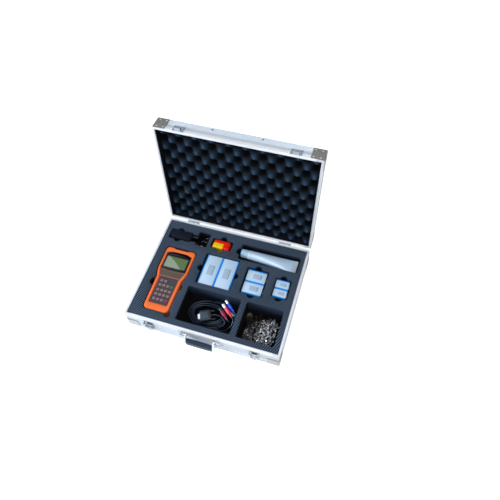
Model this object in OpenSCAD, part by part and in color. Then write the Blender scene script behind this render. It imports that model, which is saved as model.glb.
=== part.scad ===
// Portable clamp-on ultrasonic flow meter, as a kit in its open carry case.
// Lengths are in millimetres. The layout is drawn in the case's own frame: X from the left
// side, Y from the front and Z from the plane where base and lid meet, with the lid closed.

/* [Case] */
// Width of the case over its corner guards
case_w = 450; // [446:1:480]
// Depth of the case, front to hinge side
case_d = 345; // [344:1:370]
// Height of the base, from its corner guards to the rim
base_h = 70; // [69:1:90]
// Height of the lid, from the rim to its corner guards
lid_h = 43.5; // [42:0.5:60]
// Angle between the rims of base and lid as the case stands open
lid_open = 94.8; // [80:0.1:100]
// Gap between the rims when the lid is closed
lid_gap = 0.6; // [0.4:0.1:1]
// Distance from the outside to the inner edge of the rim
rim_w = 8; // [7.5:0.5:9]
// Height of the bright rim band
band_h = 11; // [9:0.5:12]
// Height of the whole rim extrusion, with the flange behind the wall board
rim_h = 20; // [16:1:24]
// Thickness of the sheet in edging, guards and plates
sheet_t = 1.2; // [1:0.1:1.3]
// Thickness of the wall boards
wall_t = 4; // [3:0.5:4.5]
// Thickness of the bottom and top boards
board_t = 3; // [2:0.5:4]
// Width of each leg of the edging
edge_leg = 19; // [14:1:22]
// Length of each leg of a corner guard
guard_leg = 36; // [28:1:38]
// Length of each leg of the corner joiners in the rim
joiner_leg = 22; // [14:1:26]

/* [Hinges] */
// Length of a hinge
hinge_w = 38; // [30:1:50]
// Distance of each hinge's middle from the case's side
hinge_x = 79; // [65:1:100]
// Radius of the hinge barrel
barrel_r = 2.1; // [1.8:0.1:2.1]
// Radius of the hinge pin
hinge_pin_r = 1; // [0.8:0.1:1.2]
// Radial clearance of every pin that turns in a bore
pin_gap = 0.05; // [0.03:0.01:0.08]

/* [Latches] */
// Distance of each latch's middle from the case's side
latch_x = 72; // [64:1:90]
// Width of a latch's base plate
latch_w = 30; // [28:1:34]
// Height of a latch's base plate
latch_h = 34; // [30:1:36]
// Width of a latch's lever
lever_w = 15; // [12:1:15]
// Length of a latch's lever, from its pivot to its round end
lever_l = 34; // [28:1:40]
// Length of the wire claw, from its pivot to its cross bar
claw_l = 35; // [34.5:0.1:35.5]
// Radius of the claw's wire
wire_r = 1; // [0.8:0.1:1]

/* [Handle] */
// Place of the handle's middle along the front
handle_x = 226; // [215:1:235]
// Length of the grip
grip_l = 77; // [60:1:90]
// Thickness of the grip
grip_t = 14; // [12:1:16]
// Height of the grip's section
grip_h = 25; // [20:1:26]
// Drop from the handle's pivot to the middle of the grip
handle_drop = 26.5; // [24:0.5:30]

/* [Foam] */
// Gap between foam and case
foam_gap = 0.3; // [0.2:0.1:1]
// Depth of the foam's top face under the rim
foam_sink = 2; // [0.5:0.5:3]
// Depth of the two open compartments' floor under the rim
well_depth = 60; // [58:0.5:62]
// Height of the lid foam's mean surface over the rim
crate_mean = 21.5; // [20:0.5:24]
// Height of the lid foam's bumps over and under that mean
crate_rise = 11.5; // [8:0.5:12]

/* [Meter] */
// Place of the meter's axis from the left side
meter_x = 80.4; // [79:0.1:82]
// Place of the meter's lower end from the front
meter_y = 35.5; // [34:0.5:37]
// Depth of the meter's top face under the rim
meter_sink = 1.5; // [0:0.5:3]
// Length of the meter over its boot
meter_l = 207; // [205:1:208]
// Width of the boot's head
head_w = 92; // [90:1:93]
// Width of the boot at its waist
waist_w = 79; // [78:1:80]
// Width of the boot's foot
foot_w = 74; // [72:1:76]
// Thickness of the meter over its boot
meter_t = 32; // [31.5:0.5:36]
// Thickness of the boot's side walls
boot_wall = 5.5; // [5:0.1:5.7]
// Thickness of the meter's shells
shell_t = 2.2; // [1.8:0.1:2.4]
// Width of the display's glass
glass_w = 67; // [60:1:69]
// Height of the display's glass
glass_h = 38.6; // [34:0.1:40]
// Width of a key
key_w = 9; // [7:0.1:9.4]
// Height of a key
key_h = 8; // [6:0.1:9]
// Travel of a key
key_travel = 0.4; // [0.3:0.05:0.5]

/* [Transducers] */
// Depth of the transducers' tops under the rim
unit_sink = 6; // [5:0.5:8]
// Length of a large transducer
large_l = 97; // [94:0.5:98]
// Width of a large transducer
large_w = 48.2; // [46:0.1:48.4]
// Height of a large transducer
large_h = 52; // [48:1:53]
// Length of a medium transducer
medium_l = 56.3; // [54:0.1:57]
// Width of a medium transducer
medium_w = 38.7; // [36:0.1:38.8]
// Height of a medium transducer
medium_h = 43; // [40:1:45]
// Length of a small transducer
small_l = 38.3; // [36:0.1:39]
// Width of a small transducer
small_w = 27.7; // [26:0.1:28]
// Height of a small transducer
small_h = 31; // [28:1:34]

/* [Couplant tube] */
// Length of the cap
cap_l = 21.5; // [18:0.5:22]
// Radius of the cap
cap_r = 13; // [11:0.5:13.5]
// Length of the filled tube, from its shoulder to the crimp
fill_l = 133; // [120:1:136]
// Radius of the tube at its shoulder
fill_r = 14; // [13:0.1:14.5]
// Width of the crimped end
crimp_w = 41; // [36:1:44]

/* [Adapter] */
// Length of the adapter's housing
adapter_l = 66; // [60:1:66]
// Thickness of the adapter's housing
adapter_w = 29; // [26:1:30]
// Height of the adapter's housing
adapter_h = 40; // [36:1:42]

/* [Tape measure] */
// Length of the tape measure
tape_l = 54; // [50:1:56]
// Thickness of the tape measure
tape_w = 27; // [24:1:28]
// Height of the tape measure
tape_h = 42; // [38:1:44]

/* [Hidden] */
over = 1;                 // overrun of every cut
joint_gap = 0.1;          // gap between boards, and between pieces that share a node
fit_gap = 0.3;            // gap round a piece that sits loose in its seat
arc_steps = 6;            // segments in a rounded corner
$fn = 40;

// Levels and insets of the case
edge_in = sheet_t;
board_in = 2 * sheet_t;
flange_t = rim_w - board_in - wall_t;
well_z = -well_depth;
foam_bottom = board_t - base_h + board_in;
foam_x = [rim_w + foam_gap, case_w - rim_w - foam_gap];
foam_y = [rim_w + foam_gap, case_d - rim_w - foam_gap];
pivot_y = case_d - edge_in + barrel_r + joint_gap;
pivot_z = lid_gap / 2;
rivet_r = 2.2;
rivet_t = 0.9;
lid_rivet_x = [155, 287.5];
guard_start = 1.5;

// Hinges
knuckles = 5;
knuckle_gap = 0.3;
leaf_start = 1.7;

// Latches, from the top of their base plate down
plate_top = 12;
lever_pivot_z = -24;
lever_pivot_y = -2.8;
lever_t = 3;
lever_pin_r = 1.5;
boss_r = 2.4;
ear_x = 11.2;
ear_t = 2;
ear_r = 3;
claw_pivot_z = -30;
claw_pivot_y = -6.8;
claw_gap = 0.9;
shelf_z = [1.4, 2.4];
shelf_y = -9.4;
shelf_lip = 1.2;
shelf_lip_h = 1;
shelf_w = 16;
catch_h = 20;
catch_start = 1.4;

// Handle
handle_pivot_y = -4.8;
handle_pivot_z = -16;
grip_y = handle_pivot_y - 6.7;
grip_z = handle_pivot_z - handle_drop;
grip_r = 5;
arm_t = 5;
arm_r = 4.5;
handle_pin_r = 2;
socket_l = 11;
socket_r = 4;
bracket_w = 28;
bracket_h = 24;
bracket_x = 51;
lid_far_y = pivot_y - pivot_y * cos(lid_open) + (lid_gap + lid_h - pivot_z) * sin(lid_open);
origin_y = (lid_far_y + grip_y - grip_t / 2) / 2;

// Meter, measured from its axis, its lower end and its top face
head_l = 77;
neck_l = 26;
shoulder_y = meter_l - head_l;
waist_y = shoulder_y - neck_l;
foot_r = 10;
head_r = 9;
bend_r = 14;
least_r = 1;
lip_t = 2;
boot_floor = 2.5;
shell_gap = 0.3;
split_z = -16;
face_half = [27.9, 28.3, 38.4];
face_start = 21;
face_end = 20;
face_step = 2;
face_y = [face_start, waist_y, shoulder_y + face_step, meter_l - face_end];
face_arch = 7;
window_t = 1;
window_start = 3;
window_y = shoulder_y + window_start;
window_gap = 0.5;
glass_start = 6;
glass_y = window_y + glass_start;
ear_recess = 2.5;
ear_recess_w = 44;
lcd_t = 3.4;
lcd_rim = 3;
pcb_t = 1.6;
pcb_z = -(lip_t + shell_t + lcd_t + 2 * joint_gap);
pcb_gap = 1;
post_r = 3;
post_x = 26;
post_in = [16, 17];
post_y = [post_in[0], meter_l - post_in[1]];
cell_r = 7.3;
cell_l = 50;
cell_y = 32;
cell_pitch = 15.6;
cells = 3;
key_cols = [-17.9, -6, 5.9, 17.8];
key_rows = [93.1, 78.8, 63.1, 48.8, 33.8];
keys_in_row = [2, 4, 4, 4, 4];
key_r = 1;
key_rise = 0.8;
key_rim = 0.8;
key_rim_t = 0.8;
jack_pitch = 16;
jack_r = 4.5;
jack_flange_r = 5.6;
jack_in = 13;
jack_out = 4.6;
strap_r = 4.5;
strap_cord_r = 1.2;
strap_way = [0.6, -0.8];

// Transducers: left front corner of each pair, and their inner pieces
large_at = [161.5, 152.6];
medium_at = [292.5, 158];
small_at = [380, 170.5];
strip_w = 2.2;
cover_t = 2;
unit_wall = 3;
wedge_share = 0.3;
disc_r_share = 0.3;
disc_t = 2;
plug_r = 3.2;
plug_in = 6;
plug_out = 2;
plug_drop = 12;

// Couplant tube
tube_at = [253, 287.5];
tube_sink = 14.8;
tube_tilt = 1.6;
nipple_r = 6;
nipple_in = 4;
collar_l = 4.5;
crimp_l = 12;
crimp_t = 1.6;
tube_sides = 24;
tube_rings = 8;

// Adapter and its pins
adapter_at = [25, 277];
item_sink = 1.5;
adapter_round = 12;
adapter_edge = 3;
pin_l = 17;
pin_r = 2.4;
pin_spread = 18.6;
pin_z = -14;

// Tape measure
tape_at = [161, 278];
tape_round = 9;
tape_side_share = 0.55;
tape_end_share = 0.62;
hook_w = 18;
hook_t = 1;
hook_h = 7;
hook_out = 2;
hook_z = -14;
blade_w = 13;

// Pockets of the foam: sides, depth and corner radius
pocket_r = 5;
meter_pocket_gap = 2.5;
large_pocket = [[156, 261.5], [149, 252.5]];
medium_pocket = [[287.5, 354], [154, 240]];
small_pocket = [[376, 424], [166, 229.5]];
tube_pocket = [[250, 430], [258, 312]];
tube_floor = 29;
adapter_pocket = [[22, 93], [273, 309]];
neck_pocket = [[92, 111], [275, 305]];
lead_pocket = [[109, 147], [269, 319]];
tape_pocket = [[157, 222], [274, 309]];
cable_well = [[144, 303], [26, 134]];
chain_well = [[319, 426], [24, 132.5]];
// Finger notches: X, Y and radius, all this deep
notch_depth = 30;
notches = [
    [42, 120, 13], [116, 120, 13], [117.5, 34, 9.5], [52, 306, 10], [51, 275, 10],
    [190, 310, 10.6], [189, 274, 10.6], [250, 285, 12], [155, 200, 10], [261, 200, 10],
    [320.5, 241, 10], [321, 154, 10], [399, 229.5, 10], [399, 166, 10],
];

// Cables: coils by their middle, half axes, pitch, turns, start angle and height
cable_d = 4.2;
data_d = 4.6;
lead_d = 3.6;
layer_gap = 0.6;
coil_pitch = 5.6;
lead_pitch = 4.4;
loop_rings = 24;
cable_sides = 6;
coil_at = [218, 81];
coil_half = [59, 41];
data_half = [49, 32];
lead_at = [128, 294];
lead_half = [16.4, 19.4];
blue_z = well_z + cable_d / 2;
red_z = blue_z + 2 * (cable_d + layer_gap);
data_z = red_z + 2 * (cable_d + layer_gap);
lead_z = -(item_sink + adapter_h) + lead_d / 2;
blue_coil = [coil_at, coil_half, coil_pitch, 4.5, -75, blue_z, cable_d];
red_coil = [coil_at, coil_half, coil_pitch, 4.6, -60, red_z, cable_d];
data_coil = [coil_at, data_half, coil_pitch, 3.1, -60, data_z, data_d];
lead_coil = [lead_at, lead_half, lead_pitch, -3.16, 215, lead_z, lead_d];
lead_exit_z = -30;
// Routes of the free ends, from each plug's stub to its coil and from the coil to the next
blue_way = [
    [295.6, 92.6, -24], [298.5, 82, -28], [299, 70, -34], [297, 56, -41], [290, 43, -48],
    [277, 34, -54], [260, 31.5, -57], [247, 34, -57.9],
];
blue_end = [[215, 125.5, -52.5], [227, 129, -52], [238, 130.8, -51.6], [246.5, 131, -51.3]];
red_way = [
    [294.4, 77.6, -24.4], [295.6, 69.6, -28], [293, 61.4, -33.8], [287, 55, -40], [278.6, 49, -45],
    [267.5, 45.4, -47.8],
];
red_end = [
    [240, 122, -42.2], [252, 122.5, -41], [264, 120, -40], [275, 115, -40], [285.4, 106.6, -40],
    [292.6, 97, -39.6], [295.8, 88, -38.6], [296, 79.4, -36], [293.2, 72.4, -32], [286.4, 69.3, -27.2],
];
data_way = [
    [243, 77, -21.4], [253, 78, -24], [262, 75.8, -27.6], [269.6, 70.6, -30.6], [273, 63, -33.8],
    [270, 56.2, -36.6], [261.4, 52.8, -38.2],
];
data_end = [[203, 48, -33.8], [194, 44.8, -36], [186, 40.4, -41.4], [179, 37, -48]];
lead_way = [[98.5, 291.4, -31.4], [104.6, 290.4, -34.8], [110, 287.2, -38.2]];
lead_end = [
    [137, 275.6, -34.6], [142.6, 283.6, -32.6], [144.6, 294, -31], [144.6, 305, -29.8],
    [141.7, 313.4, -28.8], [134.8, 316.4, -28], [127.9, 313.5, -27.5],
];

// Plugs: tail end, metal end and radius of the body
blue_plug = [[288.5, 101, -22], [257, 127.5, -22], 4.7];
blue_plug_low = [[255, 126.5, -51.6], [286, 100.5, -54.4], 4.7];
red_plug = [[287.5, 84.5, -23], [252.5, 114, -23], 5.3];
red_plug_low = [[277, 74.5, -24], [247.5, 99.5, -24], 5.3];
data_plug_end = [[166.6, 36, -53], [147.6, 36, -53], 5.3];
dc_plug = [[125, 303, -27.3], [125, 274.5, -27.3], 4.8];
shell_share = 0.3;
shell_r_share = 0.8;
hood_at = [217.6, 65.6, -21];
hood_turn = 25;
hood_size = [30, 31, 15];
hood_r = 3;
d_size = [6, 17, 8.3];
screw_l = 12;
screw_r = 2.6;
screw_half = 12.5;

// Chain bag: its two mounds by middle, half axes and height
bag_cells = [14, 12];
bag_room = 2.5;
links_at = [387, 62];
links_half = [42, 42];
links_h = 30;
film_at = [346, 66];
film_half = [30, 48];
film_h = 20;

KEYS = [for (r = [0:len(key_rows) - 1]) for (c = [0:keys_in_row[r] - 1]) [r, c]];

function key_name(k) = str("key_", k[0] + 1, "_", k[1] + 1);

// Outlines
function unit(v) = v / norm(v);
function turned(v) = [v[1], -v[0]];
function next(p, i) = p[(i + 1) % len(p)];
function last(p, i) = p[(i + len(p) - 1) % len(p)];
function rect(x, y) = [[x[0], y[0]], [x[1], y[0]], [x[1], y[1]], [x[0], y[1]]];
// The points of an outline with its corners rounded to radii r
function rounded(p, r) = [for (i = [0:len(p) - 1]) each
    let (u = unit(last(p, i) - p[i]), v = unit(next(p, i) - p[i]), half = acos(u * v) / 2,
         m = p[i] + unit(u + v) * r[i] / sin(half), reach = r[i] / tan(half),
         a = p[i] + u * reach - m, b = p[i] + v * reach - m)
    [for (k = [0:arc_steps]) m + r[i] * unit(a * (1 - k / arc_steps) + b * k / arc_steps)]];
// The points of an outline whose sides are moved out by c
function grown(p, c) = [for (i = [0:len(p) - 1])
    let (m = turned(unit(p[i] - last(p, i))), n = turned(unit(next(p, i) - p[i])))
    p[i] + (m + n) * c / (1 + m * n)];

// The smooth line through a list of points
function smooth(p, steps) = [for (i = [0:len(p) - 2]) for (k = [0:steps - 1])
    let (a = p[max(i - 1, 0)], b = p[i], c = p[i + 1], d = p[min(i + 2, len(p) - 1)],
         t = k / steps)
    ((2 * b) + (c - a) * t + (2 * a - 5 * b + 4 * c - d) * t * t
     + (3 * b - a - 3 * c + d) * t * t * t) / 2];

// A coil's centre line: in along one layer, up, and out again along the next. A coil is
// [middle, half axes, pitch, turns, start angle, height, cord], and minus turns run left.
function coil_reach(c, t) = c[2] * min(t, abs(c[3]) - t);
function coil_climb(c, t) = let (s = min(max(2 * (t - abs(c[3]) / 2) + 0.5, 0), 1))
    c[5] + (c[6] + layer_gap) * s * s * (3 - 2 * s);
function coil_point(c, t) = let (a = c[4] - 360 * t * sign(c[3]), q = coil_reach(c, t)) [
    c[0][0] + (c[1][0] - q) * cos(a), c[0][1] + (c[1][1] - q) * sin(a), coil_climb(c, t)];
function coil_line(c) = let (n = round(abs(c[3]) * loop_rings))
    [for (i = [0:n]) coil_point(c, abs(c[3]) * i / n)];
// A cord's whole line: a straight stub from each plug's tail, and smooth ways into the coil
function stub(p, d) = [p[0], p[0] - unit(p[1] - p[0]) * d];
function whole_line(plug_a, way_a, c, way_b, plug_b, d) = let (
    k = coil_line(c), s = stub(plug_a, d), e = stub(plug_b, d), n = len(k),
    a = smooth(concat(s, way_a, [k[0], k[1]]), 2),
    b = smooth(concat([k[n - 2], k[n - 1]], way_b, [e[1], e[0]]), 2))
    concat([a[0]], [for (i = [2:len(a) - 1]) a[i]], [for (i = [1:n - 3]) k[i]],
           [for (i = [0:len(b) - 2]) b[i]], [e[0]]);
hood_tail = [hood_at + [cos(hood_turn), sin(hood_turn), 0] * hood_size[0] / 2, hood_at];
adapter_tail = [[adapter_at[0] + adapter_l, adapter_at[1] + adapter_w / 2, lead_exit_z],
                [adapter_at[0], adapter_at[1] + adapter_w / 2, lead_exit_z]];
blue_line = whole_line(blue_plug, blue_way, blue_coil, blue_end, blue_plug_low, cable_d);
red_line = whole_line(red_plug, red_way, red_coil, red_end, red_plug_low, cable_d);
data_line = whole_line(hood_tail, data_way, data_coil, data_end, data_plug_end, data_d);
lead_line = whole_line(adapter_tail, lead_way, lead_coil, lead_end, dc_plug, lead_d);

// The least gap between stretches of one cord, and between two cords
function self_gap(p, d) = min([for (i = [0:len(p) - 1]) for (j = [i + 8:1:len(p) - 1])
    norm(p[i] - p[j])]) - d;
function pair_gap(p, q, d) = min([for (a = p) for (b = q) norm(a - b)]) - d;
echo(red_self = self_gap(red_line, cable_d), blue_self = self_gap(blue_line, cable_d),
     data_self = self_gap(data_line, data_d), lead_self = self_gap(lead_line, lead_d));
echo(red_blue = pair_gap(red_line, blue_line, cable_d),
     red_data = pair_gap(red_line, data_line, (cable_d + data_d) / 2),
     blue_data = pair_gap(blue_line, data_line, (cable_d + data_d) / 2));

// Frames of the two halves
module place() translate([-case_w / 2, -origin_y, base_h]) children();
module place_lid() place() translate([0, pivot_y, pivot_z]) rotate([-lid_open, 0, 0])
    translate([0, -pivot_y, -pivot_z]) children();
// A half of the case is drawn with its rim up, and the lid's is turned over
module lid_half() place_lid() translate([0, 0, lid_gap]) mirror([0, 0, 1]) children();

module span(x, y, z) translate([x[0], y[0], z[0]]) cube([x[1] - x[0], y[1] - y[0], z[1] - z[0]]);
module at_corners() for (right = [0, 1], back = [0, 1])
    translate([right * case_w, back * case_d, 0]) mirror([right, 0, 0]) mirror([0, back, 0])
        children();
module ring(inset, t, z) difference() {
    span([inset, case_w - inset], [inset, case_d - inset], z);
    span([inset + t, case_w - inset - t], [inset + t, case_d - inset - t],
         [z[0] - over, z[1] + over]);
}
module along_x(r, x) translate([x[0], 0, 0]) rotate([0, 90, 0]) cylinder(r = r, h = x[1] - x[0]);
module plate(points, z) translate([0, 0, z[0]]) linear_extrude(z[1] - z[0]) polygon(points);

// A cord's tube along a line
module tube(line, d) {
    n = len(line);
    rings = [for (i = [0:n - 1])
        let (t = unit(line[min(i + 1, n - 1)] - line[max(i - 1, 0)]),
             s = unit(cross(t, [0, 0, 1])), u = cross(s, t))
        for (k = [0:cable_sides - 1])
            line[i] + d / 2 * (cos(360 * k / cable_sides) * s + sin(360 * k / cable_sides) * u)];
    sides = [for (i = [0:n - 2]) for (k = [0:cable_sides - 1])
        let (a = i * cable_sides + k, b = i * cable_sides + (k + 1) % cable_sides)
        each [[a, b, a + cable_sides], [b, b + cable_sides, a + cable_sides]]];
    caps = [for (k = [1:cable_sides - 2]) each [
        [0, k + 1, k],
        [(n - 1) * cable_sides, (n - 1) * cable_sides + k, (n - 1) * cable_sides + k + 1]]];
    polyhedron(rings, concat(sides, caps));
}

// A closed solid between a flat face at z and a surface of heights over a grid of nx by ny cells
module heights(x, y, z, nx, ny, top) {
    stride = ny + 1;
    count = (nx + 1) * stride;
    edge = concat([for (i = [0:nx - 1]) [i, 0]], [for (j = [0:ny - 1]) [nx, j]],
                  [for (i = [nx:-1:1]) [i, ny]], [for (j = [ny:-1:1]) [0, j]]);
    n = len(edge);
    function spot(i, j, h) = [x[0] + (x[1] - x[0]) * i / nx, y[0] + (y[1] - y[0]) * j / ny, h];
    upper = [for (i = [0:nx]) for (j = [0:ny]) spot(i, j, top[i][j])];
    lower = concat([for (e = edge) spot(e[0], e[1], z)], [spot(nx / 2, ny / 2, z)]);
    cells = [for (i = [0:nx - 1]) for (j = [0:ny - 1]) let (a = i * stride + j, b = a + stride)
        each [[a, a + 1, b], [b, a + 1, b + 1]]];
    skirt = [for (k = [0:n - 1])
        let (a = edge[k] * [stride, 1], b = next(edge, k) * [stride, 1],
             c = count + k, d = count + (k + 1) % n)
        each [[a, b, d], [a, d, c], [c, d, count + n]]];
    polyhedron(concat(upper, lower), concat(cells, skirt));
}

// Halves of the case
module half_frame() {
    difference() {
        ring(edge_in, rim_w - edge_in, [-band_h, 0]);
        at_corners() span([-over, joiner_leg], [-over, joiner_leg], [-band_h - over, over]);
    }
    ring(rim_w - flange_t, flange_t, [-rim_h, -band_h]);
}
module half_panels(h) {
    low = board_in - h + board_t;
    wall_z = [low + joint_gap, -band_h];
    side_in = board_in + wall_t;
    for (y = [board_in, case_d - board_in - wall_t])
        span([board_in, case_w - board_in], [y, y + wall_t], wall_z);
    for (x = [board_in, case_w - board_in - wall_t])
        span([x, x + wall_t], [side_in + joint_gap, case_d - side_in - joint_gap], wall_z);
    span([board_in, case_w - board_in], [board_in, case_d - board_in], [low - board_t, low]);
}
module half_edging(h) {
    low = sheet_t - h;
    far = edge_in + edge_leg;
    difference() {
        span([edge_in, case_w - edge_in], [edge_in, case_d - edge_in], [low, low + edge_leg]);
        span([board_in, case_w - board_in], [board_in, case_d - board_in],
             [low + sheet_t, low + edge_leg + over]);
        span([far, case_w - far], [far, case_d - far], [low - over, low + edge_leg]);
    }
}
module half_corners(h, guard_top) at_corners() {
    difference() {
        span([0, guard_leg], [0, guard_leg], [-h, guard_top]);
        span([sheet_t, guard_leg + over], [sheet_t, guard_leg + over],
             [sheet_t - h, guard_top + over]);
    }
    difference() {
        span([edge_in + joint_gap, joiner_leg], [edge_in + joint_gap, joiner_leg], [-band_h, 0]);
        span([rim_w, joiner_leg + over], [rim_w, joiner_leg + over], [-band_h - over, over]);
    }
}

module base_frame() color("#d3deea") place() half_frame();
module base_panels() color("#dfe3e6") place() half_panels(base_h);
module base_edging() color("#c9d6e2") place() half_edging(base_h);
module base_corners() color("#a8a79f") place() half_corners(base_h, guard_leg - base_h);
module lid_frame() color("#d3deea") lid_half() half_frame();
module lid_panels() color("#dfe3e6") lid_half() half_panels(lid_h);
module lid_edging() color("#c9d6e2") lid_half() half_edging(lid_h);
module lid_corners() color("#8a8880") lid_half() half_corners(lid_h, -guard_start);

// Foam with a pocket for each thing, and notches for the fingers
module pocket(sides, floor) let (r = pocket_r)
    plate(rounded(rect(sides[0], sides[1]), [r, r, r, r]), [floor, over]);
module foam_insert() color("#3c4758") place() difference() {
    span(foam_x, foam_y, [foam_bottom, -foam_sink]);
    translate([meter_x, meter_y, 0])
        plate(meter_outline(meter_pocket_gap), [-meter_sink - meter_t, over]);
    pocket(large_pocket, -unit_sink - large_h);
    pocket(medium_pocket, -unit_sink - medium_h);
    pocket(small_pocket, -unit_sink - small_h);
    pocket(tube_pocket, -tube_floor);
    pocket(adapter_pocket, -item_sink - adapter_h);
    pocket(neck_pocket, -item_sink - adapter_h);
    pocket(lead_pocket, -item_sink - adapter_h);
    pocket(tape_pocket, -item_sink - tape_h);
    pocket(cable_well, well_z);
    pocket(chain_well, well_z);
    for (n = notches) translate([n[0], n[1], -notch_depth]) cylinder(r = n[2], h = notch_depth + over);
}

// Lid foam with rows of bumps and hollows
crate_cells = [38, 25];
crate_waves = [9.5, 6.25];
function crate_height(i, j) = crate_mean - crate_rise
    * cos(360 * crate_waves[0] * i / crate_cells[0] + 270)
    * cos(360 * crate_waves[1] * (1 - j / crate_cells[1]));
module lid_foam() color("#1b2430") place_lid() translate([0, 0, lid_gap])
    mirror([0, 0, 1])
    heights(foam_x, foam_y, -(lid_h - board_in - board_t), crate_cells[0], crate_cells[1],
            [for (i = [0:crate_cells[0]]) [for (j = [0:crate_cells[1]]) -crate_height(i, j)]]);

// Hinges: leaves on the rim bands, knuckles in turn about one pin
module knuckle_row(first) {
    pitch = hinge_w / knuckles;
    for (k = [first:2:knuckles - 1]) {
        x = [k * pitch + knuckle_gap / 2, (k + 1) * pitch - knuckle_gap / 2];
        translate([0, pivot_y, pivot_z]) difference() {
            along_x(barrel_r, x);
            along_x(hinge_pin_r + pin_gap, [x[0] - over, x[1] + over]);
        }
    }
}
module leaf_tabs(first, z) {
    pitch = hinge_w / knuckles;
    for (k = [first:2:knuckles - 1])
        span([k * pitch + knuckle_gap / 2, (k + 1) * pitch - knuckle_gap / 2],
             [case_d - edge_in, case_d], z);
}
module at_hinges() for (x = [hinge_x, case_w - hinge_x]) translate([x - hinge_w / 2, 0, 0]) children();
module hinge_half(first, leaf_z, tab_z) at_hinges() {
    knuckle_row(first);
    difference() {
        union() {
            span([0, hinge_w], [case_d - edge_in, case_d], leaf_z);
            leaf_tabs(first, tab_z);
        }
        translate([0, pivot_y, pivot_z]) along_x(hinge_pin_r + pin_gap, [-over, hinge_w + over]);
    }
}
module base_hinges() color("#a8b0b8") place() {
    reach = barrel_r + leaf_start;
    hinge_half(0, [-band_h, pivot_z - reach], [pivot_z - reach, pivot_z]);
    at_hinges() translate([0, pivot_y, pivot_z]) along_x(hinge_pin_r, [0, hinge_w]);
}
module lid_hinges() color("#a8b0b8") place_lid() {
    reach = barrel_r + leaf_start;
    hinge_half(1, [pivot_z + reach, lid_gap + band_h], [pivot_z, pivot_z + reach]);
}

// Lid fittings: catch plates with a hook shelf, and rivets through the edging
module lid_fittings() color("#b9c2ca") place_lid() {
    for (x = [latch_x, case_w - latch_x]) translate([x, 0, lid_gap]) {
        span([-latch_w / 2, latch_w / 2], [0, edge_in], [catch_start, catch_start + catch_h]);
        span([-shelf_w / 2, shelf_w / 2], [shelf_y, 0], shelf_z);
        span([-shelf_w / 2, shelf_w / 2], [shelf_y, shelf_y + shelf_lip],
             [shelf_z[0], shelf_z[1] + shelf_lip_h]);
    }
    for (x = lid_rivet_x) translate([x, edge_in, lid_gap + lid_h - edge_leg / 2 - sheet_t])
        rotate([90, 0, 0]) cylinder(r = rivet_r, h = rivet_t);
}

// Latches: plate with two ears, lever with its pin, wire claw
module at_latch(x) place() translate([x, 0, 0]) children();
module latch_plates() color("#c4ccd4") for (x = [latch_x, case_w - latch_x]) at_latch(x)
    difference() {
        union() {
            span([-latch_w / 2, latch_w / 2], [edge_in, board_in], [-plate_top - latch_h, -plate_top]);
            for (s = [-1, 1]) translate([s * (ear_x + ear_t / 2), 0, 0]) {
                span([-ear_t / 2, ear_t / 2], [lever_pivot_y, edge_in],
                     [lever_pivot_z - ear_r, lever_pivot_z + ear_r]);
                translate([0, lever_pivot_y, lever_pivot_z])
                    along_x(ear_r - joint_gap, [-ear_t / 2, ear_t / 2]);
            }
        }
        translate([0, lever_pivot_y, lever_pivot_z])
            along_x(lever_pin_r + pin_gap, [-latch_w, latch_w]);
    }
module latch_lever(x) color("#aeb8c2") at_latch(x) {
    half = lever_w / 2;
    end_z = lever_pivot_z - lever_l + half;
    difference() {
        union() {
            translate([0, lever_pivot_y + lever_t / 2, 0]) rotate([90, 0, 0]) linear_extrude(lever_t)
                union() {
                    translate([-half, end_z]) square([lever_w, lever_pivot_z - end_z]);
                    translate([0, end_z]) circle(r = half);
                }
            translate([0, lever_pivot_y, lever_pivot_z]) along_x(boss_r, [-half, half]);
            translate([0, claw_pivot_y, claw_pivot_z]) along_x(boss_r, [-half, half]);
            span([-half, half], [claw_pivot_y, lever_pivot_y],
                 [claw_pivot_z - boss_r, claw_pivot_z + boss_r]);
        }
        translate([0, claw_pivot_y, claw_pivot_z]) along_x(wire_r + pin_gap, [-latch_w, latch_w]);
    }
    translate([0, lever_pivot_y, lever_pivot_z])
        along_x(lever_pin_r, [-ear_x - ear_t, ear_x + ear_t]);
}
module latch_claw(x) color("#e2e8ee") at_latch(x)
    translate([0, claw_pivot_y, claw_pivot_z]) {
        leg_x = lever_w / 2 + claw_gap + wire_r;
        for (z = [0, -claw_l]) translate([0, 0, z]) {
            along_x(wire_r, [-leg_x, leg_x]);
            for (s = [-1, 1]) translate([s * leg_x, 0, 0]) sphere(r = wire_r);
        }
        for (s = [-1, 1]) translate([s * leg_x, 0, -claw_l]) cylinder(r = wire_r, h = claw_l);
    }

// Handle: brackets with a socket for each arm's pin
module at_handle() place() translate([handle_x, 0, 0]) children();
module handle_brackets() color("#c4ccd4") at_handle() for (s = [0, 1]) mirror([s, 0, 0]) {
    near = grip_l / 2 + arm_t + fit_gap;
    difference() {
        union() {
            span([bracket_x - bracket_w / 2, bracket_x + bracket_w / 2], [edge_in, board_in],
                 [-plate_top - bracket_h, -plate_top]);
            span([near, near + socket_l], [handle_pivot_y, edge_in],
                 [handle_pivot_z - socket_r, handle_pivot_z + socket_r]);
            translate([0, handle_pivot_y, handle_pivot_z])
                along_x(socket_r - joint_gap, [near, near + socket_l]);
        }
        translate([0, handle_pivot_y, handle_pivot_z])
            along_x(handle_pin_r + pin_gap, [near - over, near + socket_l + over]);
    }
}
module handle_grip() color("#35465a") at_handle() translate([-grip_l / 2, 0, 0])
    rotate([90, 0, 90]) linear_extrude(grip_l) polygon(rounded(
        rect([grip_y - grip_t / 2, grip_y + grip_t / 2], [grip_z - grip_h / 2, grip_z + grip_h / 2]),
        [grip_r, grip_r, grip_r, grip_r]));
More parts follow.
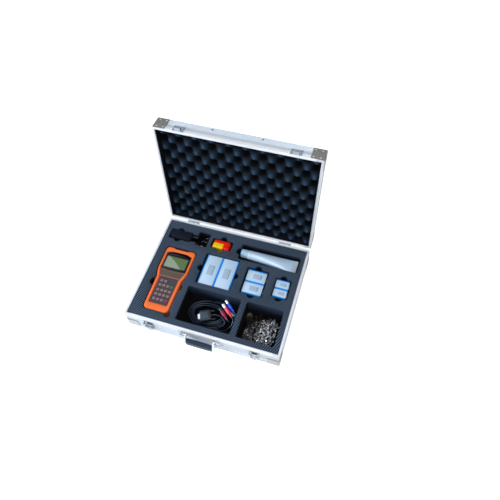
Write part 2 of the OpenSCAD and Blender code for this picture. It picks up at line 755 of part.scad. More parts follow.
// The outline round two circles, one at each end of an arm
function link_points(a, ra, b, rb) =
    let (way = unit(b - a), side = [-way[1], way[0]], lean = acos((ra - rb) / norm(b - a)),
         n = cos(lean) * way + sin(lean) * side, m = cos(lean) * way - sin(lean) * side)
    [a + ra * n, a + ra * m, b + rb * m, b + rb * n];
module handle_arms() color("#dfe6ec") at_handle() for (s = [0, 1]) mirror([s, 0, 0]) {
    pivot = [handle_pivot_y, handle_pivot_z];
    low = [grip_y, grip_z];
    low_r = grip_t / 2 - joint_gap;
    translate([grip_l / 2, 0, 0]) rotate([90, 0, 90]) linear_extrude(arm_t) union() {
        translate(pivot) circle(r = arm_r);
        translate(low) circle(r = low_r);
        polygon(link_points(pivot, arm_r, low, low_r));
    }
    translate([0, handle_pivot_y, handle_pivot_z])
        along_x(handle_pin_r, [grip_l / 2, grip_l / 2 + arm_t + fit_gap + socket_l]);
}

// Meter. Outline of the boot, moved out by c
function meter_corners() = [
    [-foot_w / 2, 0], [foot_w / 2, 0], [waist_w / 2, waist_y], [head_w / 2, shoulder_y],
    [head_w / 2, meter_l], [-head_w / 2, meter_l], [-head_w / 2, shoulder_y],
    [-waist_w / 2, waist_y]];
function meter_outline(c) = let (f = max(foot_r + c, least_r), h = max(head_r + c, least_r))
    rounded(grown(meter_corners(), c), [f, f, bend_r, bend_r, h, h, bend_r, bend_r]);
function arch(half, y, gap) = [for (k = [0:8]) let (t = 1 - k / 4)
    [half * t, y + (face_arch - gap) * (1 - t * t)]];
function face_outline() = concat(
    [[-face_half[0], face_y[0]], [face_half[0], face_y[0]], [face_half[1], face_y[1]],
     [face_half[2], face_y[2]]],
    arch(face_half[2], face_y[3], 0),
    [[-face_half[2], face_y[2]], [-face_half[1], face_y[1]]]);
function window_outline() = let (half = face_half[2] - window_gap) concat(
    [[-half, window_y], [half, window_y]], arch(half, face_y[3] - window_gap, 0));
module at_meter() place() translate([meter_x, meter_y, -meter_sink]) children();
module jacks(r, y) for (k = [-1:1]) translate([k * jack_pitch, y[0], split_z]) rotate([-90, 0, 0])
    cylinder(r = r, h = y[1] - y[0]);
shell_inset = boot_wall + shell_gap;
shell_low = boot_floor - meter_t;
shell_end = meter_l - shell_inset;

module meter_boot() color("#f26a2a") at_meter() difference() {
    plate(meter_outline(0), [-meter_t, 0]);
    plate(meter_outline(-boot_wall), [shell_low, -lip_t]);
    plate(face_outline(), [-lip_t - over, over]);
    jacks(jack_flange_r + fit_gap, [shell_end - over, meter_l + over]);
    span([-ear_recess_w / 2, ear_recess_w / 2], [meter_l - ear_recess, meter_l + over],
         [-meter_t - over, over]);
}
module key_hole(k) translate([key_cols[k[1]], key_rows[k[0]], 0])
    plate(key_outline(fit_gap), [-lip_t - shell_t - over, -lip_t + over]);
function key_outline(c) = let (x = key_w / 2 + c, y = key_h / 2 + c, r = key_r + c)
    rounded(rect([-x, x], [-y, y]), [r, r, r, r]);
module meter_front_shell() color("#3e4552") at_meter() difference() {
    plate(meter_outline(-shell_inset), [split_z, -lip_t]);
    plate(meter_outline(-shell_inset - shell_t), [split_z - over, -lip_t - shell_t]);
    span([-glass_w / 2, glass_w / 2], [glass_y, glass_y + glass_h], [-lip_t - shell_t - over, 0]);
    for (k = KEYS) key_hole(k);
    jacks(jack_r + joint_gap, [shell_end - shell_t - over, shell_end + over]);
}
module meter_rear_shell() color("#2e343d") at_meter() {
    difference() {
        plate(meter_outline(-shell_inset), [shell_low, split_z - joint_gap]);
        plate(meter_outline(-shell_inset - shell_t), [shell_low + shell_t, split_z + over]);
        jacks(jack_r + joint_gap, [shell_end - shell_t - over, shell_end + over]);
    }
    for (x = [-post_x, post_x], y = post_y) translate([x, y, shell_low + shell_t])
        cylinder(r = post_r, h = pcb_z - pcb_t - shell_low - shell_t);
}
module meter_window() color("#0c1212") at_meter() plate(window_outline(), [-lip_t, window_t - lip_t]);
module display_board() color("#5f7f45") at_meter() {
    plate(meter_outline(-shell_inset - shell_t - pcb_gap), [pcb_z - pcb_t, pcb_z]);
    span([-glass_w / 2 - lcd_rim, glass_w / 2 + lcd_rim],
         [glass_y - lcd_rim, glass_y + glass_h + lcd_rim],
         [pcb_z + joint_gap, -lip_t - shell_t - joint_gap]);
}
module battery_pack() color("#d9a520") at_meter() for (k = [0:cells - 1])
    translate([0, cell_y + k * cell_pitch, shell_low + shell_t + cell_r])
        along_x(cell_r, [-cell_l / 2, cell_l / 2]);
module meter_sockets() color("#c9ccd0") at_meter() {
    jacks(jack_r, [shell_end - jack_in, shell_end]);
    jacks(jack_flange_r, [shell_end, shell_end + jack_out]);
}
module wrist_strap() color("#7a1c22") at_meter()
    translate([foot_w / 2 - foot_r + strap_way[0] * (foot_r + strap_r + strap_cord_r + fit_gap),
               foot_r + strap_way[1] * (foot_r + strap_r + strap_cord_r + fit_gap),
               -strap_cord_r * 2])
        rotate_extrude() translate([strap_r, 0]) circle(r = strap_cord_r);
module key(k) color(k == [1, 3] ? "#1e7a3c" : k == [4, 3] ? "#b03050" : "#a08078") at_meter()
    translate([key_cols[k[1]], key_rows[k[0]], 0]) {
        low = pcb_z + key_travel + joint_gap * 2;
        top = -lip_t - shell_t - joint_gap;
        plate(key_outline(0), [low, key_rise - lip_t]);
        plate(key_outline(key_rim), [top - key_rim_t, top]);
    }

// Transducers: each is [middle, turn, length, width, height]
function pair(at, l, w, h, upright) = [for (k = [0, 1]) let (
    side = w / 2 + k * (w + fit_gap))
    [upright ? at + [side, l / 2] : at + [l / 2, side], upright ? 90 : 0, l, w, h]];
units = concat(pair(large_at, large_l, large_w, large_h, true),
               pair(medium_at, medium_l, medium_w, medium_h, false),
               pair(small_at, small_l, small_w, small_h, false));
module at_unit(u) place() translate([u[0][0], u[0][1], -unit_sink]) rotate([0, 0, u[1]]) children();
module slab(l, w, z) span([-l / 2, l / 2], [-w / 2, w / 2], z);
module unit_socket(u, r, reach) translate([0, 0, -plug_drop])
    along_x(r, [u[2] / 2 - plug_in, u[2] / 2 + reach]);
module transducer_shells() color("#1464d2") for (u = units) at_unit(u) difference() {
    slab(u[2], u[3], [-u[4], 0]);
    slab(u[2] + over, u[3] - 2 * strip_w, [-cover_t, over]);
    slab(u[2] - 2 * unit_wall, u[3] - 2 * unit_wall, [-u[4] - over, -cover_t - unit_wall]);
    unit_socket(u, plug_r + joint_gap, over);
}
module transducer_covers() color("#b5d0e5") for (u = units) at_unit(u)
    slab(u[2], u[3] - 2 * strip_w, [-cover_t, 0]);
module transducer_wedges() color("#c8b878") for (u = units) at_unit(u) {
    inner = [u[2] - 2 * unit_wall - 2 * joint_gap, u[3] - 2 * unit_wall - 2 * joint_gap];
    top = u[4] * (wedge_share - 1);
    slab(inner[0], inner[1], [-u[4], top]);
    translate([0, 0, top + joint_gap]) cylinder(r = inner[1] * disc_r_share, h = disc_t);
}
module transducer_sockets() color("#b8a060") for (u = units) at_unit(u)
    unit_socket(u, plug_r, plug_out);

// Couplant tube: shoulder with its nipple, a body that flattens to the crimp, and the cap
module at_tube() place() translate([tube_at[0], tube_at[1], -tube_sink]) rotate([0, 0, -tube_tilt])
    children();
body_start = cap_l + fit_gap + collar_l;
module tube_loft() {
    points = [for (i = [0:tube_rings]) let (t = i / tube_rings,
        a = fill_r + (crimp_w / 2 - fill_r) * t, b = fill_r + (crimp_t / 2 - fill_r) * t * t)
        for (k = [0:tube_sides - 1]) [body_start + fill_l * t, a * cos(360 * k / tube_sides),
                                     b * sin(360 * k / tube_sides)]];
    sides = [for (i = [0:tube_rings - 1]) for (k = [0:tube_sides - 1])
        let (a = i * tube_sides + k, b = i * tube_sides + (k + 1) % tube_sides)
        each [[a, a + tube_sides, b], [b, a + tube_sides, b + tube_sides]]];
    far = tube_rings * tube_sides;
    caps = [for (k = [1:tube_sides - 2]) each [[0, k, k + 1], [far, far + k + 1, far + k]]];
    polyhedron(points, concat(sides, caps));
}
module grease_tube() color("#a9bfd6") at_tube() {
    along_x(nipple_r, [nipple_in, cap_l + fit_gap]);
    along_x(fill_r, [cap_l + fit_gap, body_start]);
    tube_loft();
    span([body_start + fill_l, body_start + fill_l + crimp_l], [-crimp_w / 2, crimp_w / 2],
         [-crimp_t / 2, crimp_t / 2]);
}
module grease_cap() color("#8fafc4") at_tube() difference() {
    along_x(cap_r, [0, cap_l]);
    along_x(nipple_r + pin_gap, [nipple_in - fit_gap, cap_l + over]);
}

// Adapter: two half shells and two contact pins
module adapter_case() color("#1a2430") place() {
    x = [adapter_at[0], adapter_at[0] + adapter_l];
    y = [adapter_at[1], adapter_at[1] + adapter_w];
    mid_y = adapter_at[1] + adapter_w / 2;
    z = [-item_sink - adapter_h, -item_sink];
    difference() {
        plate(rounded(rect(x, y), [adapter_round, adapter_edge, adapter_edge, adapter_round]), z);
        span([x[0] - over, x[1] + over], [mid_y - joint_gap / 2, mid_y + joint_gap / 2],
             [z[0] - over, z[1] + over]);
    }
    for (s = [-1, 1]) translate([0, mid_y + s * pin_spread / 2, pin_z])
        along_x(pin_r, [x[1] + joint_gap, x[1] + pin_l]);
}

// Tape measure: body, rubber cover round one side and the far end, and the hook
module tape_block(c) translate([tape_at[0], tape_at[1] + tape_w - c, -item_sink - tape_h])
    rotate([90, 0, 0]) linear_extrude(tape_w - 2 * c) polygon(rounded(
        rect([c, tape_l - c], [c, tape_h - c]),
        [tape_round, tape_round, tape_round, tape_round]));
module tape_body_zone(c) span(
    [tape_at[0] - over, tape_at[0] + tape_l * tape_end_share - c],
    [tape_at[1] - over, tape_at[1] + tape_w * tape_side_share - c],
    [-item_sink - tape_h - over, over]);
module tape_measure() color("#ffd010") place() {
    intersection() {
        tape_block(0);
        tape_body_zone(joint_gap);
    }
    difference() {
        tape_block(0);
        tape_body_zone(0);
    }
    mid_y = tape_at[1] + tape_w / 2;
    translate([tape_at[0] - hook_out, mid_y, hook_z]) {
        span([0, hook_t], [-hook_w / 2, hook_w / 2], [-hook_h / 2, hook_h / 2]);
        span([0, hook_out], [-blade_w / 2, blade_w / 2], [-hook_t / 2, hook_t / 2]);
    }
}

// Cables and their plugs
module probe_cables() color("#20242c") place() {
    tube(red_line, cable_d);
    tube(blue_line, cable_d);
}
module data_cable() color("#262a33") place() tube(data_line, data_d);
module adapter_lead() color("#14181e") place() tube(lead_line, lead_d);
module round_plug(p) {
    way = p[1] - p[0];
    length = norm(way);
    shell = length * shell_share;
    translate(p[0]) rotate([0, acos(way[2] / length), atan2(way[1], way[0])]) {
        cylinder(r = p[2], h = length - shell);
        translate([0, 0, length - shell]) cylinder(r = p[2] * shell_r_share, h = shell);
    }
}
module cable_plugs() color("#e03050") place() {
    for (p = [blue_plug, blue_plug_low, red_plug, red_plug_low, data_plug_end, dc_plug]) round_plug(p);
    translate(hood_at) rotate([0, 0, hood_turn]) {
        x = [-hood_size[0] / 2, hood_size[0] / 2];
        y = [-hood_size[1] / 2, hood_size[1] / 2];
        plate(rounded(rect(x, y), [hood_r, hood_r, hood_r, hood_r]),
              [-hood_size[2] / 2, hood_size[2] / 2]);
        span([x[0] - d_size[0], x[0]], [-d_size[1] / 2, d_size[1] / 2],
             [-d_size[2] / 2, d_size[2] / 2]);
        for (s = [-1, 1]) translate([0, s * screw_half, 0]) along_x(screw_r, [x[1], x[1] + screw_l]);
    }
}

// Chains in their bag, as one lumpy heap
function mound(at, half, h, x, y) = let (
    u = (x - at[0]) / half[0], v = (y - at[1]) / half[1], r = u * u + v * v)
    h * pow(max(0, 1 - r), 0.7);
module chain_bag() color("#c3c9cf") place() {
    x = [chain_well[0][0] + bag_room, chain_well[0][1] - bag_room];
    y = [chain_well[1][0] + bag_room, chain_well[1][1] - bag_room];
    low = well_z + joint_gap;
    heights(x, y, low, bag_cells[0], bag_cells[1],
        [for (i = [0:bag_cells[0]]) [for (j = [0:bag_cells[1]])
            let (px = x[0] + (x[1] - x[0]) * i / bag_cells[0],
                 py = y[0] + (y[1] - y[0]) * j / bag_cells[1])
            low + fit_gap * 4 + max(mound(links_at, links_half, links_h, px, py),
                                    mound(film_at, film_half, film_h, px, py))]]);
}

base_frame();
base_panels();
base_edging();
base_corners();
foam_insert();
base_hinges();
latch_plates();
handle_brackets();
lid_frame();
lid_panels();
lid_edging();
lid_corners();
lid_foam();
lid_fittings();
lid_hinges();
handle_grip();
handle_arms();
latch_lever(latch_x);  // latch_lever_left
latch_lever(case_w - latch_x);  // latch_lever_right
latch_claw(latch_x);  // latch_claw_left
latch_claw(case_w - latch_x);  // latch_claw_right
meter_boot();
meter_front_shell();
meter_rear_shell();
meter_window();
display_board();
battery_pack();
meter_sockets();
wrist_strap();
for (k = KEYS) key(k);
transducer_shells();
transducer_covers();
transducer_wedges();
transducer_sockets();
grease_tube();
grease_cap();
adapter_case();
adapter_lead();
tape_measure();
probe_cables();
data_cable();
cable_plugs();
chain_bag();
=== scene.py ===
import random
from math import copysign, cos, pi, radians, sin, tan

import bmesh
import bpy
from mathutils import Matrix, Vector, noise


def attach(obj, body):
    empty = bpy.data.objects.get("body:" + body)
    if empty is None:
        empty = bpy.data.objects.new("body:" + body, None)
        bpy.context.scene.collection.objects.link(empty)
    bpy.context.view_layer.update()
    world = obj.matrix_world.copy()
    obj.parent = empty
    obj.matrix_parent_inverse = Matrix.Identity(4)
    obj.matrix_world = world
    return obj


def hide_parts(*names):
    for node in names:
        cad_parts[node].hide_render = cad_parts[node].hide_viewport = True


# A clamp-on flow meter kit in its open carry case. Lengths are millimetres in the case's own frame
# (X from the left side, Y from the front, Z from the rim plane), and each finished mesh is moved to
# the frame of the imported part, in metres. Lengths in materials are metres of that frame.
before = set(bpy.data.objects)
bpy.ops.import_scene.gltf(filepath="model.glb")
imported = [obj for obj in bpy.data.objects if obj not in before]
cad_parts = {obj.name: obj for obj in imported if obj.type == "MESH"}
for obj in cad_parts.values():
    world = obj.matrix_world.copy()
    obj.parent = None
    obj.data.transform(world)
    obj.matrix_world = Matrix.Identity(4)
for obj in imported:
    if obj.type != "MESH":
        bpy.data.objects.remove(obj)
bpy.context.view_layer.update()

CASE = Matrix.Scale(0.001, 4) @ Matrix.Translation((-225, -200.04946, 70))
HINGE, PAST_UPRIGHT = Vector((0, 346, 0.3)), radians(4.8)
OPEN_LID = (CASE @ Matrix.Translation(HINGE) @ Matrix.Rotation(-pi / 2 - PAST_UPRIGHT, 4, "X")
            @ Matrix.Translation(-HINGE))
METER = CASE @ Matrix.Translation((80.4, 35.5, -1.5))
TUBE = CASE @ Matrix.Translation((253, 287.5, -14.8)) @ Matrix.Rotation(radians(-1.6), 4, "Z")
WIDE, DEEP, BASE_H, LID_H, LID_GAP = 450, 345, 70, 43.5, 0.6
LATCH_X, HANDLE_X, HINGE_X = 72, 226, 79
WHITE = (1, 1, 1, 1)


def shown(name, data):
    """A new object in the scene."""
    obj = bpy.data.objects.new(name, data)
    bpy.context.scene.collection.objects.link(obj)
    return obj


# Materials
def linear(code):
    """The linear colour of an sRGB code."""
    channels = [int(code[k:k + 2], 16) / 255 for k in (1, 3, 5)]
    return [c / 12.92 if c <= 0.04045 else ((c + 0.055) / 1.055) ** 2.4 for c in channels] + [1]


def put(tree, kind, feeds=None, out=0, **settings):
    """Adds a node with its settings, and gives one of its outputs. Feeds are its inputs' values,
    or the sockets that they take."""
    new = tree.nodes.new(kind)
    for name, value in settings.items():
        setattr(new, name, value)
    for name, value in (feeds or {}).items():
        if isinstance(value, bpy.types.NodeSocket):
            tree.links.new(value, new.inputs[name])
        else:
            new.inputs[name].default_value = value
    return new.outputs[out] if new.outputs else None


def maths(tree, operation, *values):
    return put(tree, "ShaderNodeMath", dict(enumerate(values)), operation=operation)


def mix(tree, share, first, second):
    """A colour between two others."""
    return put(tree, "ShaderNodeMix", {0: share, 6: first, 7: second}, 2, data_type="RGBA")


def span(tree, value, start, end, low=0.0, high=1.0):
    """A number that goes from low to high as a value goes from start to end."""
    return put(tree, "ShaderNodeMapRange", {
        "Value": value, "From Min": start, "From Max": end, "To Min": low, "To Max": high})


def coordinates(tree, stretch=(1, 1, 1), turn=(0, 0, 0)):
    return put(tree, "ShaderNodeMapping", {
        "Vector": put(tree, "ShaderNodeTexCoord", out="Object"), "Scale": stretch, "Rotation": turn})


def axes(tree, where=None):
    """The outputs X, Y and Z of a place on the object."""
    where = coordinates(tree) if where is None else where
    return put(tree, "ShaderNodeSeparateXYZ", {"Vector": where}).node.outputs


def speckle(tree, scale, detail=2, where=None):
    """Noise whose spots are about 1 / scale metres across."""
    where = coordinates(tree) if where is None else where
    return put(tree, "ShaderNodeTexNoise", {"Vector": where, "Scale": scale, "Detail": detail})


def fade(tree, value, near, far, *colours):
    """A colour that runs through a list as a value goes from near to far."""
    ramp = put(tree, "ShaderNodeValToRGB", {"Fac": span(tree, value, near, far)})
    stops = ramp.node.color_ramp.elements
    while len(stops) < len(colours):
        stops.new(0.5)
    for k, code in enumerate(colours):
        stops[k].position, stops[k].color = k / (len(colours) - 1), linear(code)
    return ramp


def bare(name, colour, rough, **sockets):
    """A material with its shader's own settings, and its tree for a pattern."""
    made = bpy.data.materials.new(name)
    made.use_nodes = True
    inputs = made.node_tree.nodes["Principled BSDF"].inputs
    for socket, value in {"Base Color": linear(colour), "Roughness": rough, **sockets}.items():
        inputs[socket.replace("_", " ")].default_value = value
    return made, made.node_tree


def join(made, colour, height=None, depth=0.0, strength=0.5, **sockets):
    """Gives a material's shader its colour, its relief and what else a pattern feeds."""
    tree = made.node_tree
    feeds = {"Base Color": colour, **sockets}
    if height is not None:
        feeds["Normal"] = put(tree, "ShaderNodeBump", {
            "Height": height, "Distance": depth, "Strength": strength})
    for socket, source in feeds.items():
        tree.links.new(source, tree.nodes["Principled BSDF"].inputs[socket])
    return made


def grained(name, colour, second, rough, grit, depth, patch, metal=0.0, stretch=(1, 1, 1),
            spread=0.08, **sockets):
    """A finish whose colour drifts to a second one over patches, with a fine grain in relief.
    Grit, depth and patch are millimetres, and stretch draws the grain out along an axis."""
    made, tree = bare(name, colour, rough, Metallic=metal, **sockets)
    grain = speckle(tree, 1000 / grit, 4, coordinates(tree, stretch))
    tone = mix(tree, speckle(tree, 1000 / patch, 3), linear(colour), linear(second))
    return join(made, tone, grain, depth / 1000, 0.6,
                Roughness=span(tree, grain, 0.3, 0.7, rough - spread, rough + spread))


def cut_foam(name):
    """Cross-linked foam, die cut: slate top with fine slanting ribs; painted shade darkens its cut
    walls with depth, and painted light pales the compartments' back walls.
    """
    made, tree = bare(name, "#3C4758", 0.95, Specular_IOR_Level=0.12)
    top_z, back_wall_y, rib_pitch, rib_lean = 0.0675, -0.0669, 0.0059, 26
    ribs = put(tree, "ShaderNodeTexWave", {
        "Vector": coordinates(tree, turn=(0, 0, radians(rib_lean))), "Scale": 0.31416 / rib_pitch,
        "Distortion": 0.3, "Detail": 1}, "Fac", bands_direction="X")
    relief = maths(tree, "MULTIPLY_ADD", speckle(tree, 900), 0.3, ribs)
    place = axes(tree)
    # Painted shade: the cut walls turn dark with depth down into the pockets
    walls = fade(tree, place["Z"], top_z, 0.045, "#34445A", "#1A2432", "#0A0E14", "#060709")
    # Painted light: the compartments' back walls are paler where the window's light falls
    painted_light = fade(tree, place["Z"], top_z, 0.02, "#33435A", "#2A384A", "#202C3C", "#0E141E")
    off = maths(tree, "SUBTRACT", place["Y"], back_wall_y)
    walls = mix(tree, maths(tree, "COMPARE", off, 0.0, 0.0016), walls, painted_light)
    top = fade(tree, relief, 0.5, 1.15, "#232E3B", "#39485A", "#64768D")
    is_top = maths(tree, "GREATER_THAN", place["Z"], top_z - 0.0003)
    return join(made, mix(tree, is_top, walls, top), relief, 0.0006)


def wave_foam(name):
    """Convoluted foam: matt navy-black with open cells; painted shade darkens it down into its
    hollows.
    """
    made, tree = bare(name, "#26364A", 0.95, Specular_IOR_Level=0.1)
    # How far back from the case's middle, square to the open lid
    sunk = axes(tree, coordinates(tree, turn=(PAST_UPRIGHT, 0, 0)))["Y"]
    # Painted shade: paler at the bump tops, darker with depth into the hollows
    shade = fade(tree, sunk, 0.149, 0.172, "#344C66", "#1F2C3A", "#0B0F16", "#040507")
    cells = speckle(tree, 700, 3)
    toned = put(tree, "ShaderNodeVectorMath", {0: shade, 1: span(tree, cells, 0, 1, 0.75, 1.2)},
                operation="MULTIPLY")
    return join(made, toned, cells, 0.0003)


def shaded_blue(name):
    """Moulded blue ABS with painted shade: bright at its top edges, navy down in the pocket."""
    made, tree = bare(name, "#0A9AFF", 0.4, Specular_IOR_Level=0.35)
    # Painted shade: the blue darkens with depth in the pocket
    return join(made, fade(tree, axes(tree)["Z"], 0.0615, 0.046,
                           "#069CFF", "#0862C4", "#062A66", "#030C20"))


def heaped_steel(name):
    """Bright steel links, with painted glints and painted shade in patches of a few millimetres."""
    made, tree = bare(name, "#C0C6CE", 0.22, Metallic=0.7)
    # Painted glints and shade, by noise
    return join(made, fade(tree, speckle(tree, 170), 0.4, 0.6, "#14181E", "#8E97A2", "#FFFFFF"))


def thin_film(name):
    """Clear polythene bag: hardly seen over the chains, brown-black where it lies in folds, with
    painted highlights along its creases.
    """
    made, tree = bare(name, "#1E1A18", 0.14, Coat_Weight=0.4, Coat_Roughness=0.08)
    crease = speckle(tree, 60, 3, coordinates(tree, (1, 0.5, 1)))
    folds_x, links_x = 0.136, 0.15
    # Painted highlight: pale streaks where the crease noise is high
    return join(made, fade(tree, crease, 0.48, 0.7, "#0E0C0B", "#221D1B", "#8A8078"),
                Alpha=span(tree, axes(tree)["X"], folds_x, links_x, 0.6, 0.02))


def printed_front(name):
    """Printed polycarbonate film over the meter's keys: satin, in zones split by two lines."""
    made, tree = bare(name, "#2F2C33", 0.42)
    place, middle_x, bow = axes(tree), -0.1446, -2.7
    across = maths(tree, "SUBTRACT", place["X"], middle_x)
    bowed = maths(tree, "MULTIPLY_ADD", maths(tree, "MULTIPLY", across, across), bow, place["Y"])
    # From the foot: keys' grey, orange line, olive panel, orange-brown line, black
    colour = linear("#2F2C33")
    for level, code, height in ((-0.0567, "#E8703A", place["Y"]), (-0.0553, "#4A463C", place["Y"]),
                                (-0.0369, "#B4552C", bowed), (-0.0357, "#14181A", bowed)):
        colour = mix(tree, maths(tree, "GREATER_THAN", height, level), colour, linear(code))
    return join(made, colour, speckle(tree, 2500), 0.00005, 0.4)


def faced_board(name, colour):
    """Board faced with embossed aluminium sheet: pale, with a fine pyramid relief."""
    made, tree = bare(name, colour, 0.42, Metallic=0.35)
    # The pyramids are 2 mm apart, twice the real pitch, so that they show
    dots = put(tree, "ShaderNodeTexVoronoi", {
        "Vector": coordinates(tree), "Scale": 500, "Randomness": 0.15}, "Distance")
    tone = mix(tree, speckle(tree, 14, 5), linear(colour), linear("#D6DDE4"))
    return join(made, tone, dots, 0.00025, 0.35)


